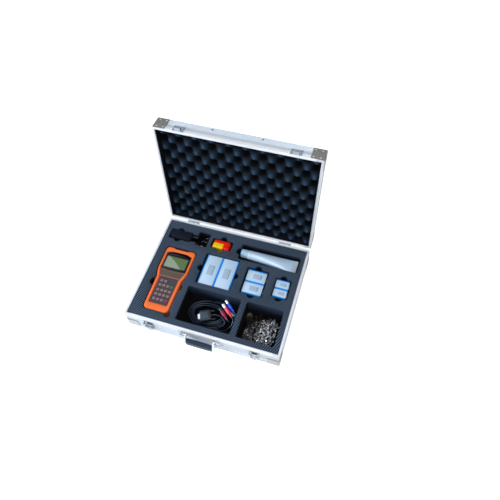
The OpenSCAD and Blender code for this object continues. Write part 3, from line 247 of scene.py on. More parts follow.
# Finishes that vary only in numbers are made here, the others by functions of their own above
DULL = {"Specular_IOR_Level": 0.1}
GLAZED = {**DULL, "Coat_Weight": 1.0, "Coat_Roughness": 0.01}
STUFF = {
    # Anodised aluminium extrusion: silky, with draw lines along it
    "rim": grained("anodised_rim", "#E8EFF6", "#F0F2F3", 0.32, 0.5, 0.03, 60, 0.5, (1, 1, 6)),
    # Die-cast aluminium: a shade duller than the rim
    "joiner": grained("cast_joiner", "#DDE2E8", "#E8EAEC", 0.36, 0.8, 0.04, 25, 0.45),
    "panel": faced_board("faced_board", "#CFDAE6"),
    # Extruded and anodised edging: silky, with lines along its ribs
    "edging": grained("ribbed_edging", "#D6E2EE", "#E2E9EE", 0.3, 0.6, 0.03, 50, 0.55, (1, 1, 5)),
    # Zinc-plated pressed steel: greyer, with faint spangle; the base's paler copy is painted light on
    # the same steel
    "guard": grained("zinced_guard", "#9A9C97", "#868883", 0.3, 2.5, 0.04, 12, 0.6),
    "guard_low": grained("zinced_guard_lit_copy", "#C6C9C6", "#AEB0AB", 0.36, 2.5, 0.04, 12, 0.6),
    # Nickel-plated steel: a soft grey mirror
    "plated": grained("nickel_plate", "#B4BCC5", "#9CA4AE", 0.22, 1.5, 0.02, 15, 0.85),
    # Chrome-plated steel: a clear, bright mirror
    "chrome": grained("chrome_plate", "#F0F4F8", "#E0E6EC", 0.12, 2, 0.01, 20, 0.95, spread=0.05),
    # Hard-drawn spring wire: bright, slightly drawn out
    "wire": grained("spring_wire", "#E2E8EE", "#C8D0D8", 0.2, 1, 0.02, 10, 0.9),
    # Zinc-plated rivets, nearly white, and darker drawn steel ones
    "zinc_head": grained("zinc_rivet", "#F2F2EE", "#E0E2E0", 0.35, 1, 0.02, 5, 0.3),
    "rivet": grained("rivet_steel", "#5A6068", "#484E56", 0.35, 1, 0.02, 5, 0.8),
    "foam": cut_foam("cut_foam"),
    "crate": wave_foam("wave_foam"),
    # Trimmed edge of the convoluted foam: matt, painted near black as shade along the rim
    "crate_edge": grained("foam_edge_shade", "#0B1119", "#080D14", 0.95, 1.4, 0.1, 20, **DULL),
    # Soft moulded vinyl: dull slate, with a bluish sheen along it
    "grip": grained("soft_grip", "#22303E", "#2C3D4D", 0.42, 0.8, 0.06, 25,
        Specular_IOR_Level=0.35, Specular_Tint=linear("#B8CCE4")),
    # Moulded silicone rubber: warm satin orange, and a deeper copy, painted shade, on the slope of its
    # lip
    "boot": grained("moulded_rubber", "#FF7C36", "#FC712A", 0.5, 0.7, 0.04, 35),
    "boot_shade": grained("rubber_lip_shaded_copy", "#D84E1C", "#C64416", 0.55, 0.7, 0.04, 20),
    "front": printed_front("printed_film"),
    # Moulded ABS: satin charcoal, with a fine grain
    "shell": grained("moulded_shell", "#2E343D", "#262B33", 0.5, 0.6, 0.05, 20),
    # Glossy acrylic window frame
    "bezel": grained("gloss_bezel", "#060909", "#0A0D0D", 0.1, 4, 0.002, 20, spread=0.03, **DULL),
    # Liquid crystal behind clear acrylic: green-grey, with one smooth reflection
    "lcd": grained("liquid_crystal", "#4C6A34", "#53723A", 0.6, 0.6, 0.001, 25, spread=0.02, **GLAZED),
    "lcd_rim": grained("lcd_border", "#2C3C24", "#32442A", 0.6, 0.6, 0.001, 25, spread=0.02, **GLAZED),
    # Green solder mask on glass epoxy, and shrink wrap on the cells
    "board": grained("circuit_board", "#1F5A38", "#17482C", 0.4, 1.5, 0.03, 8),
    "cell": grained("cell_wrap", "#D9A520", "#C48F18", 0.35, 3, 0.01, 20),
    # Nickel-plated brass: a small warm mirror
    "socket": grained("socket_nickel", "#C9CCD0", "#B4B8BC", 0.25, 1, 0.02, 6, 0.9),
    # Braided nylon cord: matt dark red, with a coarse weave
    "strap": grained("braided_cord", "#4A1014", "#30090C", 0.8, 0.5, 0.2, 4),
    # Moulded silicone keys: matt and milky, brown down their sides
    "key": grained("silicone_key", "#9C8082", "#8E7074", 0.6, 0.5, 0.02, 6),
    "key_side": grained("silicone_side", "#5C302C", "#4C2826", 0.6, 0.5, 0.02, 6),
    "key_go": grained("silicone_green", "#1E7A3C", "#2A8C4A", 0.55, 0.5, 0.02, 6),
    "key_stop": grained("silicone_red", "#B03050", "#9C2844", 0.55, 0.5, 0.02, 6),
    "blue": shaded_blue("moulded_blue"),
    # Brushed aluminium lids of the transducers, with a satin lacquer
    "cover": grained("brushed_cover", "#C4E2FC", "#CCE8FF", 0.42, 0.5, 0.02, 45, 0.1, (1, 8, 1)),
    # Satin foil labels, bare, each with a dark line, a painted shadow along one edge
    "label": grained("bare_label", "#A6C2DA", "#B0CAE0", 0.5, 0.8, 0.02, 12),
    "slot": grained("label_shadow_line", "#54687C", "#465A6E", 0.6, 0.8, 0.02, 12),
    # Cast epoxy: honey-coloured gloss
    "resin": grained("cast_resin", "#C8B878", "#B8A668", 0.3, 2, 0.02, 15),
    # Turned brass: yellow, finely grooved
    "brass": grained("turned_brass", "#B8A060", "#A89050", 0.3, 0.5, 0.02, 5, 0.9),
    # Laminate tube: soft satin, slightly dented
    "foil": grained("laminate_tube", "#CCE6FF", "#C0DCF8", 0.42, 14, 0.5, 60, 0.15),
    "crimp": grained("laminate_crimp", "#C8D8E8", "#BACCDE", 0.4, 2, 0.08, 30, 0.2),
    # Moulded polypropylene: milky blue cap and white collar
    "cap": grained("moulded_cap", "#AFD7F2", "#A4CCE8", 0.45, 1, 0.03, 15),
    "collar": grained("white_collar", "#EDF2F6", "#E2E8EE", 0.45, 1, 0.02, 10),
    # Moulded ABS with an etched texture: near black, hardly shining
    "charger": grained("textured_abs", "#070F1A", "#0A1420", 0.6, 0.7, 0.08, 20,
        Specular_IOR_Level=0.15),
    # Dull nickel on brass pins: grey, soft reflection
    "pin": grained("dull_pin", "#4A4E54", "#3A3E44", 0.35, 1, 0.02, 6, 0.8),
    # Moulded PVC: near black, with sharp white glints
    "lead": grained("pvc_lead", "#0A0F18", "#111824", 0.14, 1.2, 0.01, 20, spread=0.03,
        Specular_IOR_Level=0.8, Coat_Weight=1.0, Coat_Roughness=0.06),
    # Glossy moulded ABS: yellow and red, with a light clear gloss
    "yellow": grained("gloss_yellow", "#FFDE14", "#FFD40A", 0.3, 1.5, 0.02, 20, Coat_Weight=0.3),
    "red": grained("gloss_red", "#FF240C", "#F41A06", 0.3, 1.5, 0.02, 20, Coat_Weight=0.3),
    # Blackened steel: dark, with a dull shine
    "hook": grained("black_steel", "#3A3A3C", "#2C2C2E", 0.35, 1, 0.02, 6, 0.7),
    # Extruded PVC sheath: near black, with a cool line of light
    "cable": grained("pvc_cable", "#060C17", "#0C1524", 0.2, 1.5, 0.01, 25, spread=0.04,
        Specular_IOR_Level=0.7, Specular_Tint=linear("#B4CCF0")),
    # Moulded soft PVC grips: satin red, and blue; the lower red one is a darker copy, painted shade
    "plug_red": grained("plug_red", "#FF5472", "#F24464", 0.36, 1, 0.02, 12),
    "plug_deep": grained("plug_red_shaded_copy", "#A82440", "#941C38", 0.4, 1, 0.02, 12),
    "plug_blue": grained("plug_blue", "#1C54EE", "#1644D0", 0.36, 1, 0.02, 12),
    # Nickel-plated sleeve: bright and finely turned
    "plug_metal": grained("plug_nickel", "#F4F6F8", "#E2E6EA", 0.2, 0.8, 0.02, 8, 0.5),
    # Moulded ABS hood with its raised pad: satin, blue-black
    "hood": grained("hood_plastic", "#121A24", "#18222E", 0.5, 0.8, 0.06, 12),
    "pad": grained("hood_pad", "#2A3A4A", "#344656", 0.5, 0.8, 0.06, 12),
    "link": heaped_steel("bright_chain"),
    "film": thin_film("clear_film"),
}


# Outlines and shapes
def rect(x, y):
    return [(x[0], y[0]), (x[1], y[0]), (x[1], y[1]), (x[0], y[1])]


def rounded(corners, radii, steps=6):
    """The points of an outline with its corners rounded."""
    radii = radii if isinstance(radii, (list, tuple)) else [radii] * len(corners)
    out = []
    for k, (corner, radius) in enumerate(zip(corners, radii)):
        c = Vector(corner)
        u = (Vector(corners[k - 1]) - c).normalized()
        v = (Vector(corners[(k + 1) % len(corners)]) - c).normalized()
        half = u.angle(v) / 2
        middle = c + (u + v).normalized() * radius / sin(half)
        a, b = (c + w * radius / tan(half) - middle for w in (u, v))
        out += [middle + radius * (a * (1 - s / steps) + b * (s / steps)).normalized()
                for s in range(steps + 1)]
    return out


def grown(points, by):
    """The points of an outline whose sides are moved out."""
    out = []
    for k, point in enumerate(points):
        p = Vector(point)
        u = (p - Vector(points[k - 1])).normalized()
        v = (Vector(points[(k + 1) % len(points)]) - p).normalized()
        m, n = Vector((u.y, -u.x)), Vector((v.y, -v.x))
        out.append(p + (m + n) * (by / (1 + m.dot(n))))
    return out


def levels(outline, rows):
    """Rings of an outline, each moved in by a length and set at a height."""
    return [[(*p, z) for p in grown(outline, -inset)] for inset, z in rows]


def circle(count):
    """Angles spread evenly over a full turn."""
    return [2 * pi * k / count for k in range(count)]


def skin(bm, rings, stuff=0, ends=True):
    """Faces between rings of points, with both ends closed. A ring may shrink to one point."""
    rows = [[bm.verts.new(p) for p in ring] for ring in rings]
    count, faces = len(rows[0]), []
    for low, high in zip(rows, rows[1:]):
        faces += [bm.faces.new((low[k], low[(k + 1) % count], high[(k + 1) % count], high[k]))
                  for k in range(count)]
    if ends:
        for row in (rows[0][::-1], rows[-1]):
            if (row[0].co - row[count // 2].co).length > 1e-4:
                faces.append(bm.faces.new(row))
    for face in faces:
        face.material_index = stuff


def slab(bm, outline, z, edge=0.0, stuff=0):
    """A plate between two heights, with its upper and lower edges rounded."""
    if edge:
        bend = [pi / 2 * k / 3 for k in range(4)]
        rows = [(edge * (1 - sin(a)), z[0] + edge * (1 - cos(a))) for a in bend]
        rows += [(edge * (1 - cos(a)), z[1] - edge * (1 - sin(a))) for a in bend]
    else:
        rows = [(0, z[0]), (0, z[1])]
    skin(bm, levels(outline, rows), stuff)


def block(bm, x, y, z, radius, edge=0.0, stuff=0, steps=6):
    """A slab of rectangular outline with rounded corners."""
    slab(bm, rounded(rect(x, y), radius, steps), z, edge, stuff)


def turned(bm, profile, start, way, stuff=0, sides=24):
    """A round piece along a way, from its profile of distances and radii."""
    turn = Vector(way).to_track_quat("Z", "Y").to_matrix()
    skin(bm, [[Vector(start) + turn @ Vector((r * cos(a), r * sin(a), d)) for a in circle(sides)]
              for d, r in profile], stuff)


def hose(bm, line, radius, sides=8, closed=False):
    """A round bar along a line of points."""
    line = [Vector(p) for p in line]
    count = len(line)
    side, rings = None, []
    for k in range(count):
        before, after = (line[k - 1], line[(k + 1) % count]) if closed else (
            line[max(k - 1, 0)], line[min(k + 1, count - 1)])
        way = (after - before).normalized()
        side = way.orthogonal() if side is None else side
        side = (side - way * side.dot(way)).normalized()
        other = way.cross(side)
        rings.append([line[k] + radius * (cos(a) * side + sin(a) * other) for a in circle(sides)])
    if closed:
        # The last ring meets the first again where their corners lie closest
        turn = min(range(sides), key=lambda s: (rings[-1][s] - rings[0][0]).length)
        rings.append([rings[0][(s - turn) % sides] for s in range(sides)])
    skin(bm, rings, ends=not closed)


def close_sheet(bm, z):
    """Draws the rim of an open sheet to a height, and closes it there."""
    rim = [e for e in bm.edges if e.is_boundary]
    for v in bmesh.ops.extrude_edge_only(bm, edges=rim)["geom"]:
        if isinstance(v, bmesh.types.BMVert):
            v.co.z = z
    bmesh.ops.contextual_create(bm, geom=[e for e in bm.edges if e.is_boundary])


def mesh_of(name, bm):
    """The mesh of a finished shape, with its faces outward."""
    bmesh.ops.recalc_face_normals(bm, faces=bm.faces)
    mesh = bpy.data.meshes.new(name)
    bm.to_mesh(mesh)
    bm.free()
    return mesh


def settle(name, mesh, body, stuff, place=CASE, stands_for=(), slot=None, crease=38):
    """Puts a mesh in its place with its materials, riding on its body. Edges sharper than the
    crease stay sharp, and a piece may stand for solids. The slot is not used."""
    mesh.transform(place)
    for key in stuff:
        mesh.materials.append(STUFF[key])
    mesh.shade_smooth()
    mesh.set_sharp_from_angle(angle=radians(crease))
    obj = shown(name, mesh)
    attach(obj, body)
    if stands_for:
        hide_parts(*stands_for)
    return obj


def piece(name, bm, *about):
    """Closes the making of a shape: merged, faces outward, and settled."""
    bmesh.ops.remove_doubles(bm, verts=bm.verts, dist=1e-5)
    return settle(name, mesh_of(name, bm), *about)


# Geometry Nodes for what repeats
def new_pattern(name, **sizes):
    """A node group that takes a mesh, sizes and a material, and what its input node gives."""
    tree = bpy.data.node_groups.new(name, "GeometryNodeTree")
    for label, kind in {"Geometry": "Geometry", **sizes, "Material": "Material"}.items():
        tree.interface.new_socket(label, in_out="INPUT", socket_type="NodeSocket" + kind)
    tree.interface.new_socket("Geometry", in_out="OUTPUT", socket_type="NodeSocketGeometry")
    return tree, put(tree, "NodeGroupInput").node.outputs


def close_pattern(tree, given, shape):
    real = put(tree, "GeometryNodeRealizeInstances", {"Geometry": shape})
    put(tree, "NodeGroupOutput", {"Geometry": put(tree, "GeometryNodeSetMaterial", {
        "Geometry": real, "Material": given["Material"]})})
    return tree


def close_copies(tree, given, points, turn):
    """Closes a pattern that sets a copy of a shape on each point."""
    shape = put(tree, "GeometryNodeObjectInfo", {"Object": given["Shape"]}, "Geometry")
    return close_pattern(tree, given, put(tree, "GeometryNodeInstanceOnPoints", {
        "Points": points, "Instance": shape, "Rotation": turn, "Scale": given["Size"]}))


def studs_pattern():
    """A copy of a shape on each point, facing the way that the point names."""
    tree, given = new_pattern("studs", Shape="Object", Size="Float")
    facing = put(tree, "GeometryNodeInputNamedAttribute", {"Name": "facing"}, "Attribute",
                 data_type="FLOAT_VECTOR")
    turn = put(tree, "FunctionNodeAlignRotationToVector", {"Vector": facing}, axis="Z")
    return close_copies(tree, given, given["Geometry"], turn)


def beads_pattern():
    """A round bead along each line of a mesh."""
    tree, given = new_pattern("beads", Radius="Float")
    line = put(tree, "GeometryNodeMeshToCurve", {"Mesh": given["Geometry"]})
    ring = put(tree, "GeometryNodeCurvePrimitiveCircle", {
        "Resolution": 6, "Radius": given["Radius"]})
    return close_pattern(tree, given, put(tree, "GeometryNodeCurveToMesh", {
        "Curve": line, "Profile Curve": ring, "Fill Caps": True}))


def chain_pattern():
    """Links along each line of a mesh, every second one turned a quarter about the line."""
    tree, given = new_pattern("chain", Shape="Object", Pitch="Float", Size="Float")
    line = put(tree, "GeometryNodeMeshToCurve", {"Mesh": given["Geometry"]})
    spaced = put(tree, "GeometryNodeResampleCurve", {"Curve": line, "Length": given["Pitch"]},
                 mode="LENGTH")
    along = put(tree, "FunctionNodeAlignRotationToVector", {
        "Vector": put(tree, "GeometryNodeInputTangent")}, axis="X")
    odd = maths(tree, "MODULO", put(tree, "GeometryNodeInputIndex"), 2.0)
    roll = put(tree, "FunctionNodeAxisAngleToRotation", {
        "Axis": (1, 0, 0), "Angle": maths(tree, "MULTIPLY_ADD", odd, pi / 2, pi / 4)})
    turn = put(tree, "FunctionNodeRotateRotation", {"Rotation": along, "Rotate By": roll},
               rotation_space="LOCAL")
    return close_copies(tree, given, spaced, turn)


def waves_pattern():
    """A sheet raised and sunk in rows of bumps and hollows, by the product of two cosines."""
    sizes = ("Width", "Depth", "Across", "Along", "Mean", "Rise")
    tree, given = new_pattern("waves", **dict.fromkeys(sizes, "Float"))
    grid = put(tree, "GeometryNodeMeshGrid", {
        "Size X": given["Width"], "Size Y": given["Depth"], "Vertices X": 229, "Vertices Y": 151})
    place = axes(tree, put(tree, "GeometryNodeInputPosition"))
    waves = []
    for axis, size, count, sign, start in (("X", "Width", "Across", 1.0, 1.5 * pi),
                                           ("Y", "Depth", "Along", -1.0, 0.0)):
        share = maths(tree, "DIVIDE", place[axis], given[size])
        phase = maths(tree, "MULTIPLY", maths(tree, "MULTIPLY_ADD", share, sign, 0.5), given[count])
        waves.append(maths(tree, "COSINE", maths(tree, "MULTIPLY_ADD", phase, 2 * pi, start)))
    rise = maths(tree, "MULTIPLY", maths(tree, "MULTIPLY", *waves), given["Rise"])
    lift = put(tree, "ShaderNodeCombineXYZ", {"Z": maths(tree, "SUBTRACT", given["Mean"], rise)})
    return close_pattern(tree, given, put(tree, "GeometryNodeSetPosition", {
        "Geometry": grid, "Offset": lift}))


STUDS, BEADS, CHAIN, WAVES = studs_pattern(), beads_pattern(), chain_pattern(), waves_pattern()


def plain_mesh(tree, seed, stuff, **values):
    """The plain mesh that a pattern makes of a seed mesh."""
    values["Material"] = STUFF[stuff]
    holder = shown("seed", seed)
    pattern = holder.modifiers.new("pattern", "NODES")
    pattern.node_group = tree
    for item in tree.interface.items_tree:
        if item.in_out == "INPUT" and item.name in values:
            pattern[item.identifier] = values[item.name]
    bpy.context.view_layer.update()
    graph = bpy.context.evaluated_depsgraph_get()
    made = bpy.data.meshes.new_from_object(holder.evaluated_get(graph), depsgraph=graph)
    bpy.data.objects.remove(holder)
    made.materials.clear()
    return made


def lines_mesh(lines, closed=False):
    points, edges = [], []
    for line in lines:
        first = len(points)
        points += [tuple(p) for p in line]
        edges += [(first + k, first + k + 1) for k in range(len(line) - 1)]
        if closed:
            edges.append((len(points) - 1, first))
    seed = bpy.data.meshes.new("lines")
    seed.from_pydata(points, edges, [])
    return seed


def studs(name, spots, shape, body, stuff, place=CASE, size=1.0):
    """One mesh of equal small fasteners: each spot is a point and the way that its head faces."""
    seed = bpy.data.meshes.new("spots")
    seed.from_pydata([p for p, way in spots], [], [])
    facing = seed.attributes.new("facing", "FLOAT_VECTOR", "POINT")
    facing.data.foreach_set("vector", [c for p, way in spots for c in way])
    settle(name, plain_mesh(STUDS, seed, stuff, Shape=shape, Size=size), body, [stuff], place)


def beads(name, lines, radius, body, stuff, place=CASE, closed=True):
    mesh = plain_mesh(BEADS, lines_mesh(lines, closed), stuff, Radius=radius)
    settle(name, mesh, body, [stuff], place)


# The camera stands where the photograph was taken from
def set_camera():
    """Solved from the case's edges in the photograph."""
    lens = bpy.data.cameras.new("camera")
    lens.lens, lens.sensor_width, lens.clip_start = 32.79, 36, 0.01
    camera = shown("camera", lens)
    ahead, up = Vector((-0.18438, 0.50513, -0.84312)), Vector((-0.23274, 0.81099, 0.53678))
    camera.matrix_world = Matrix((ahead.cross(up), up, -ahead)).transposed().to_4x4()
    camera.location = (0.3022, -0.58955, 1.2134)
    bpy.context.scene.camera = camera


set_camera()


# Cords, along the routes of the part
def smooth(points, steps):
    """A line through the points, each stretch of it cut into steps."""
    out, p = [], [Vector(q) for q in points]
    for i in range(len(p) - 1):
        a, b, c, d = p[max(i - 1, 0)], p[i], p[i + 1], p[min(i + 2, len(p) - 1)]
        for k in range(steps):
            t = k / steps
            out.append((2 * b + (c - a) * t + (2 * a - 5 * b + 4 * c - d) * t * t
                        + (3 * b - a - 3 * c + d) * t * t * t) / 2)
    return out


def coil_line(at, half, turns, start, height, thick, pitch=5.6):
    """Rounds of a cord: in along one layer, up, and out again along the next."""
    out, count, total = [], round(abs(turns) * 24), abs(turns)
    for i in range(count + 1):
        t = total * i / count
        a = radians(start - 360 * t * copysign(1, turns))
        q = pitch * min(t, total - t)
        s = min(max(2 * (t - total / 2) + 0.5, 0), 1)
        out.append((at[0] + (half[0] - q) * cos(a), at[1] + (half[1] - q) * sin(a),
                    height + (thick + 0.6) * s * s * (3 - 2 * s)))
    return out


def stub(plug, thick):
    """A plug's tail, and a point behind it that the cord leaves through."""
    start, end = Vector(plug[0]), Vector(plug[1])
    return [start, start - (end - start).normalized() * thick]


def whole_line(plug_a, way_a, rounds, way_b, plug_b, thick):
    """A cord's middle line, from one plug by way of its rounds to the other."""
    s, e = stub(plug_a, thick), stub(plug_b, thick)
    a = smooth([*s, *way_a, *rounds[:2]], 2)
    b = smooth([*rounds[-2:], *way_b, e[1], e[0]], 2)
    line = [a[0], *a[2:], *(Vector(p) for p in rounds[1:-2]), *b[:-1], e[0]]
    return [*smooth(line, 3), line[-1]]


# Each plug's tail, front and radius
BLUE_PLUG = [(288.5, 101, -22), (257, 127.5, -22), 4.7]
BLUE_LOW = [(255, 126.5, -51.6), (286, 100.5, -54.4), 4.7]
RED_PLUG = [(287.5, 84.5, -23), (252.5, 114, -23), 5.3]
RED_LOW = [(277, 74.5, -24), (247.5, 99.5, -24), 5.3]
DATA_END = [(166.6, 36, -53), (147.6, 36, -53), 5.3]
DC_PLUG = [(125, 303, -27.3), (125, 274.5, -27.3), 4.8]
HOOD_AT, HOOD_TURN = Vector((217.6, 65.6, -21)), radians(25)
HOOD_TAIL = [HOOD_AT + Vector((cos(HOOD_TURN), sin(HOOD_TURN), 0)) * 15, HOOD_AT]
LEAD_TAIL = [(91, 291.5, -30), (25, 291.5, -30)]
PLUGS = {"blue_plug": (BLUE_PLUG, "plug_blue"), "blue_plug_low": (BLUE_LOW, "plug_blue"),
         "red_plug": (RED_PLUG, "plug_red"), "red_plug_low": (RED_LOW, "plug_deep"),
         "data_plug_end": (DATA_END, "lead"), "charger_plug": (DC_PLUG, "lead")}
COIL_AT = (218, 81)
# Name, node, material, thickness, kind of end and plugs; then where it starts, its way to the
# rounds, the rounds, its way from them, and where it ends
CORDS = (
    ("red_cable", "probe_cables", "cable", 4.2, "plug", ("red_plug", "red_plug_low"), RED_PLUG,
     [(294.4, 77.6, -24.4), (295.6, 69.6, -28), (293, 61.4, -33.8), (287, 55, -40),
      (278.6, 49, -45), (267.5, 45.4, -47.8)],
     coil_line(COIL_AT, (59, 41), 4.6, -60, -48.3, 4.2),
     [(240, 122, -42.2), (252, 122.5, -41), (264, 120, -40), (275, 115, -40), (285.4, 106.6, -40),
      (292.6, 97, -39.6), (295.8, 88, -38.6), (296, 79.4, -36), (293.2, 72.4, -32),
      (286.4, 69.3, -27.2)], RED_LOW),
    ("blue_cable", "probe_cables", "cable", 4.2, "plug", ("blue_plug", "blue_plug_low"), BLUE_PLUG,
     [(295.6, 92.6, -24), (298.5, 82, -28), (299, 70, -34), (297, 56, -41), (290, 43, -48),
      (277, 34, -54), (260, 31.5, -57), (247, 34, -57.9)],
     coil_line(COIL_AT, (59, 41), 4.5, -75, -57.9, 4.2),
     [(215, 125.5, -52.5), (227, 129, -52), (238, 130.8, -51.6), (246.5, 131, -51.3)], BLUE_LOW),
    ("data_lead", "data_cable", "cable", 4.6, "connector", ("serial_hood", "data_plug_end"),
     HOOD_TAIL,
     [(243, 77, -21.4), (253, 78, -24), (262, 75.8, -27.6), (269.6, 70.6, -30.6),
      (273, 63, -33.8), (270, 56.2, -36.6), (261.4, 52.8, -38.2)],
     coil_line(COIL_AT, (49, 32), 3.1, -60, -38.7, 4.6),
     [(203, 48, -33.8), (194, 44.8, -36), (186, 40.4, -41.4), (179, 37, -48)], DATA_END),
    ("charger_lead", "adapter_lead", "lead", 3.6, "plug", ("charger_plug",), LEAD_TAIL,
     [(98.5, 291.4, -31.4), (104.6, 290.4, -34.8), (110, 287.2, -38.2)],
     coil_line((128, 294), (16.4, 19.4), -3.16, 215, -39.7, 3.6, 4.4),
     [(137, 275.6, -34.6), (142.6, 283.6, -32.6), (144.6, 294, -31), (144.6, 305, -29.8),
      (141.7, 313.4, -28.8), (134.8, 316.4, -28), (127.9, 313.5, -27.5)], DC_PLUG),
)


def lay_cord(name, line, thick, stuff):
    curve = bpy.data.curves.new(name, "CURVE")
    curve.dimensions, curve.bevel_depth, curve.bevel_resolution = "3D", thick / 2000, 3
    curve.use_fill_caps = True
    run = curve.splines.new("POLY")
    run.points.add(len(line) - 1)
    for spot, p in zip(run.points, line):
        spot.co = (*(CASE @ Vector(p)), 1)
    run.use_smooth = True
    curve.materials.append(STUFF[stuff])
    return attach(shown(name, curve), "case")


def grooves(start, pitch, *rows):
    """Four equal grooves of a profile, each from rows of a distance and a radius."""
    return [(start + k * pitch + d, r) for k in range(4) for d, r in rows]


def round_plug(name, plug, colour):
    """A moulded plug: ribbed tail, grip with finger grooves, and a bright sleeve in front."""
    tail, front, r = Vector(plug[0]), Vector(plug[1]), plug[2]
    long = (front - tail).length
    grip = long * 0.7
    profile = [(0, r * 0.48), (1, r * 0.55)]
    profile += grooves(1.4, 2.2, (0, r * 0.62), (1.1, r * 0.62), (1.3, r * 0.52), (2, r * 0.52))
    profile += [(10.6, r * 0.62), (12, r * 0.9), (13, r * 0.98)]
    profile += grooves(14, (grip - 17) / 4, (0, r), (1.6, r), (1.9, r * 0.92), (2.5, r * 0.92),
                       (2.8, r))
    profile = [q for q in profile if q[0] < grip - 1] + [(grip - 0.8, r), (grip, r * 0.9)]
    bm = bmesh.new()
    turned(bm, profile, tail, front - tail)
    s = r * 0.92
    turned(bm, [(grip - 0.5, s * 0.8), (grip, s * 0.96), (grip + 1, s), (grip + 3.2, s),
                (grip + 3.5, s * 0.86), (grip + 4.5, s * 0.86), (grip + 4.8, s),
                (long - 1, s), (long - 0.3, s * 0.95), (long, s * 0.84), (long, s * 0.62),
                (long - 3, s * 0.6), (long - 3, 0)], tail, front - tail, 1)
    # The shaded red plug's sleeve is the dull pin metal: painted shade
    return piece(name, bm, "case", [colour, "pin" if colour == "plug_deep" else "plug_metal"])


def serial_hood():
    bm = bmesh.new()
    block(bm, (-15, 15), (-15.5, 15.5), (-7.5, 7.5), 3, 2)
    # Raised panel on its back, and the D-shaped shell in front
    block(bm, (-14, 8), (-10, 10), (7, 8.3), 2, 0.5, 3)
    outline = rounded([(-7.4, -4.15), (7.4, -4.15), (8.5, 4.15), (-8.5, 4.15)], 1.4)
    rows = ((1.3, -16.5), (1.3, -21), (0.8, -21), (0.5, -20.6), (0.5, -16.3), (0, -16.2), (0, -15))
    skin(bm, [[(x, y, z) for y, z, x in ring] for ring in levels(outline, rows)], 1)
    for side in (-12.5, 12.5):
        turned(bm, [(0, 2.6), (1, 2.6), (1.2, 2.2), (2.4, 2.2), (2.6, 2.6), (10.6, 2.6),
                    (11.6, 2.2), (12, 1.4)], (15, side, 0), (1, 0, 0), 2, 12)
        turned(bm, [(0, 1.5), (0.8, 1.5), (1.4, 1.0), (1.4, 0)], (-15, side * 0.86, 0),
               (-1, 0, 0), 1, 12)
    turned(bm, [(-0.2, 4), (1, 3.9), (3, 3.4), (5.5, 2.6), (5.5, 2.3)], (15, 0, 0), (1, 0, 0))
    place = CASE @ Matrix.Translation(HOOD_AT) @ Matrix.Rotation(HOOD_TURN, 4, "Z")
    return piece("serial_hood", bm, "case", ["hood", "plug_metal", "hook", "pad"], place)


def make_cords():
    plugs = {name: round_plug(name, *about) for name, about in PLUGS.items()}
    plugs["serial_hood"] = serial_hood()
    for plug in plugs.values():
        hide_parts("cable_plugs")
    for name, node, stuff, thick, far, ends, *route in CORDS:
        line = whole_line(*route, thick)
        cord = lay_cord(name, line, thick, stuff)
        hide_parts(node)


make_cords()


# The case. Each side: its length, and the place of a length along it, an inset and a height
SIDES = ((WIDE, lambda s, d, z: (s, d, z)), (DEEP, lambda s, d, z: (WIDE - d, s, z)),
         (WIDE, lambda s, d, z: (WIDE - s, DEEP - d, z)), (DEEP, lambda s, d, z: (d, DEEP - s, z)))
# Rim extrusion: outer lip with a bead, a groove for the seal, an inner lip and a long flange
RIM = [(1.2, -11), (1.2, -9.6), (1.55, -9.3), (1.55, -8.6), (1.2, -8.3), (1.2, -1.5), (1.5, -0.6),
       (2.2, -0.1), (3, 0), (4.1, 0), (4.4, -0.3), (4.5, -1.2), (5.9, -1.2), (6, -0.6), (6.3, -0.3),
       (7.6, -0.3), (7.9, -0.6), (8, -1.2), (8, -20), (6.4, -20), (6.4, -11)]
FLANGE = [(8, -19.9), (6.5, -19.9), (6.5, -11.2), (8, -11.2)]
JOINER = [(1.25, -10.9), (1.25, -1.4), (1.6, -0.5), (2.4, 0), (7, 0), (7.7, -0.4), (7.9, -1.1),
          (7.9, -10.9)]
JOINER_LONG, GUARD_LONG, GUARD_BEND, GUARD_THICK, GUARD_INSET = 22, 36, 5.0, 0.8, 0.4
# Angles over a quarter of a round
QUARTER = [pi / 2 * k / 5 for k in range(6)]


def guard_profile(low, top):
    """Pressed guard in section: outer face, rounded edge and flat foot, then back inside."""
    r, t, d = GUARD_BEND, GUARD_THICK, GUARD_INSET
    outer = [(d, top), (d, low + r)]
    outer += [(d + (r - d) * (1 - cos(a)), low + r - r * sin(a)) for a in QUARTER[1:]]
    inner = [(d + t, top), (d + t * 0.7, low + r)]
    inner += [(d + t + (r - d - t) * (1 - cos(a)), low + r - (r - t) * sin(a)) for a in QUARTER[1:]]
    return outer + [(20, low), (35.9, low), (35.9, low + t), (20, low + t)] + inner[::-1]


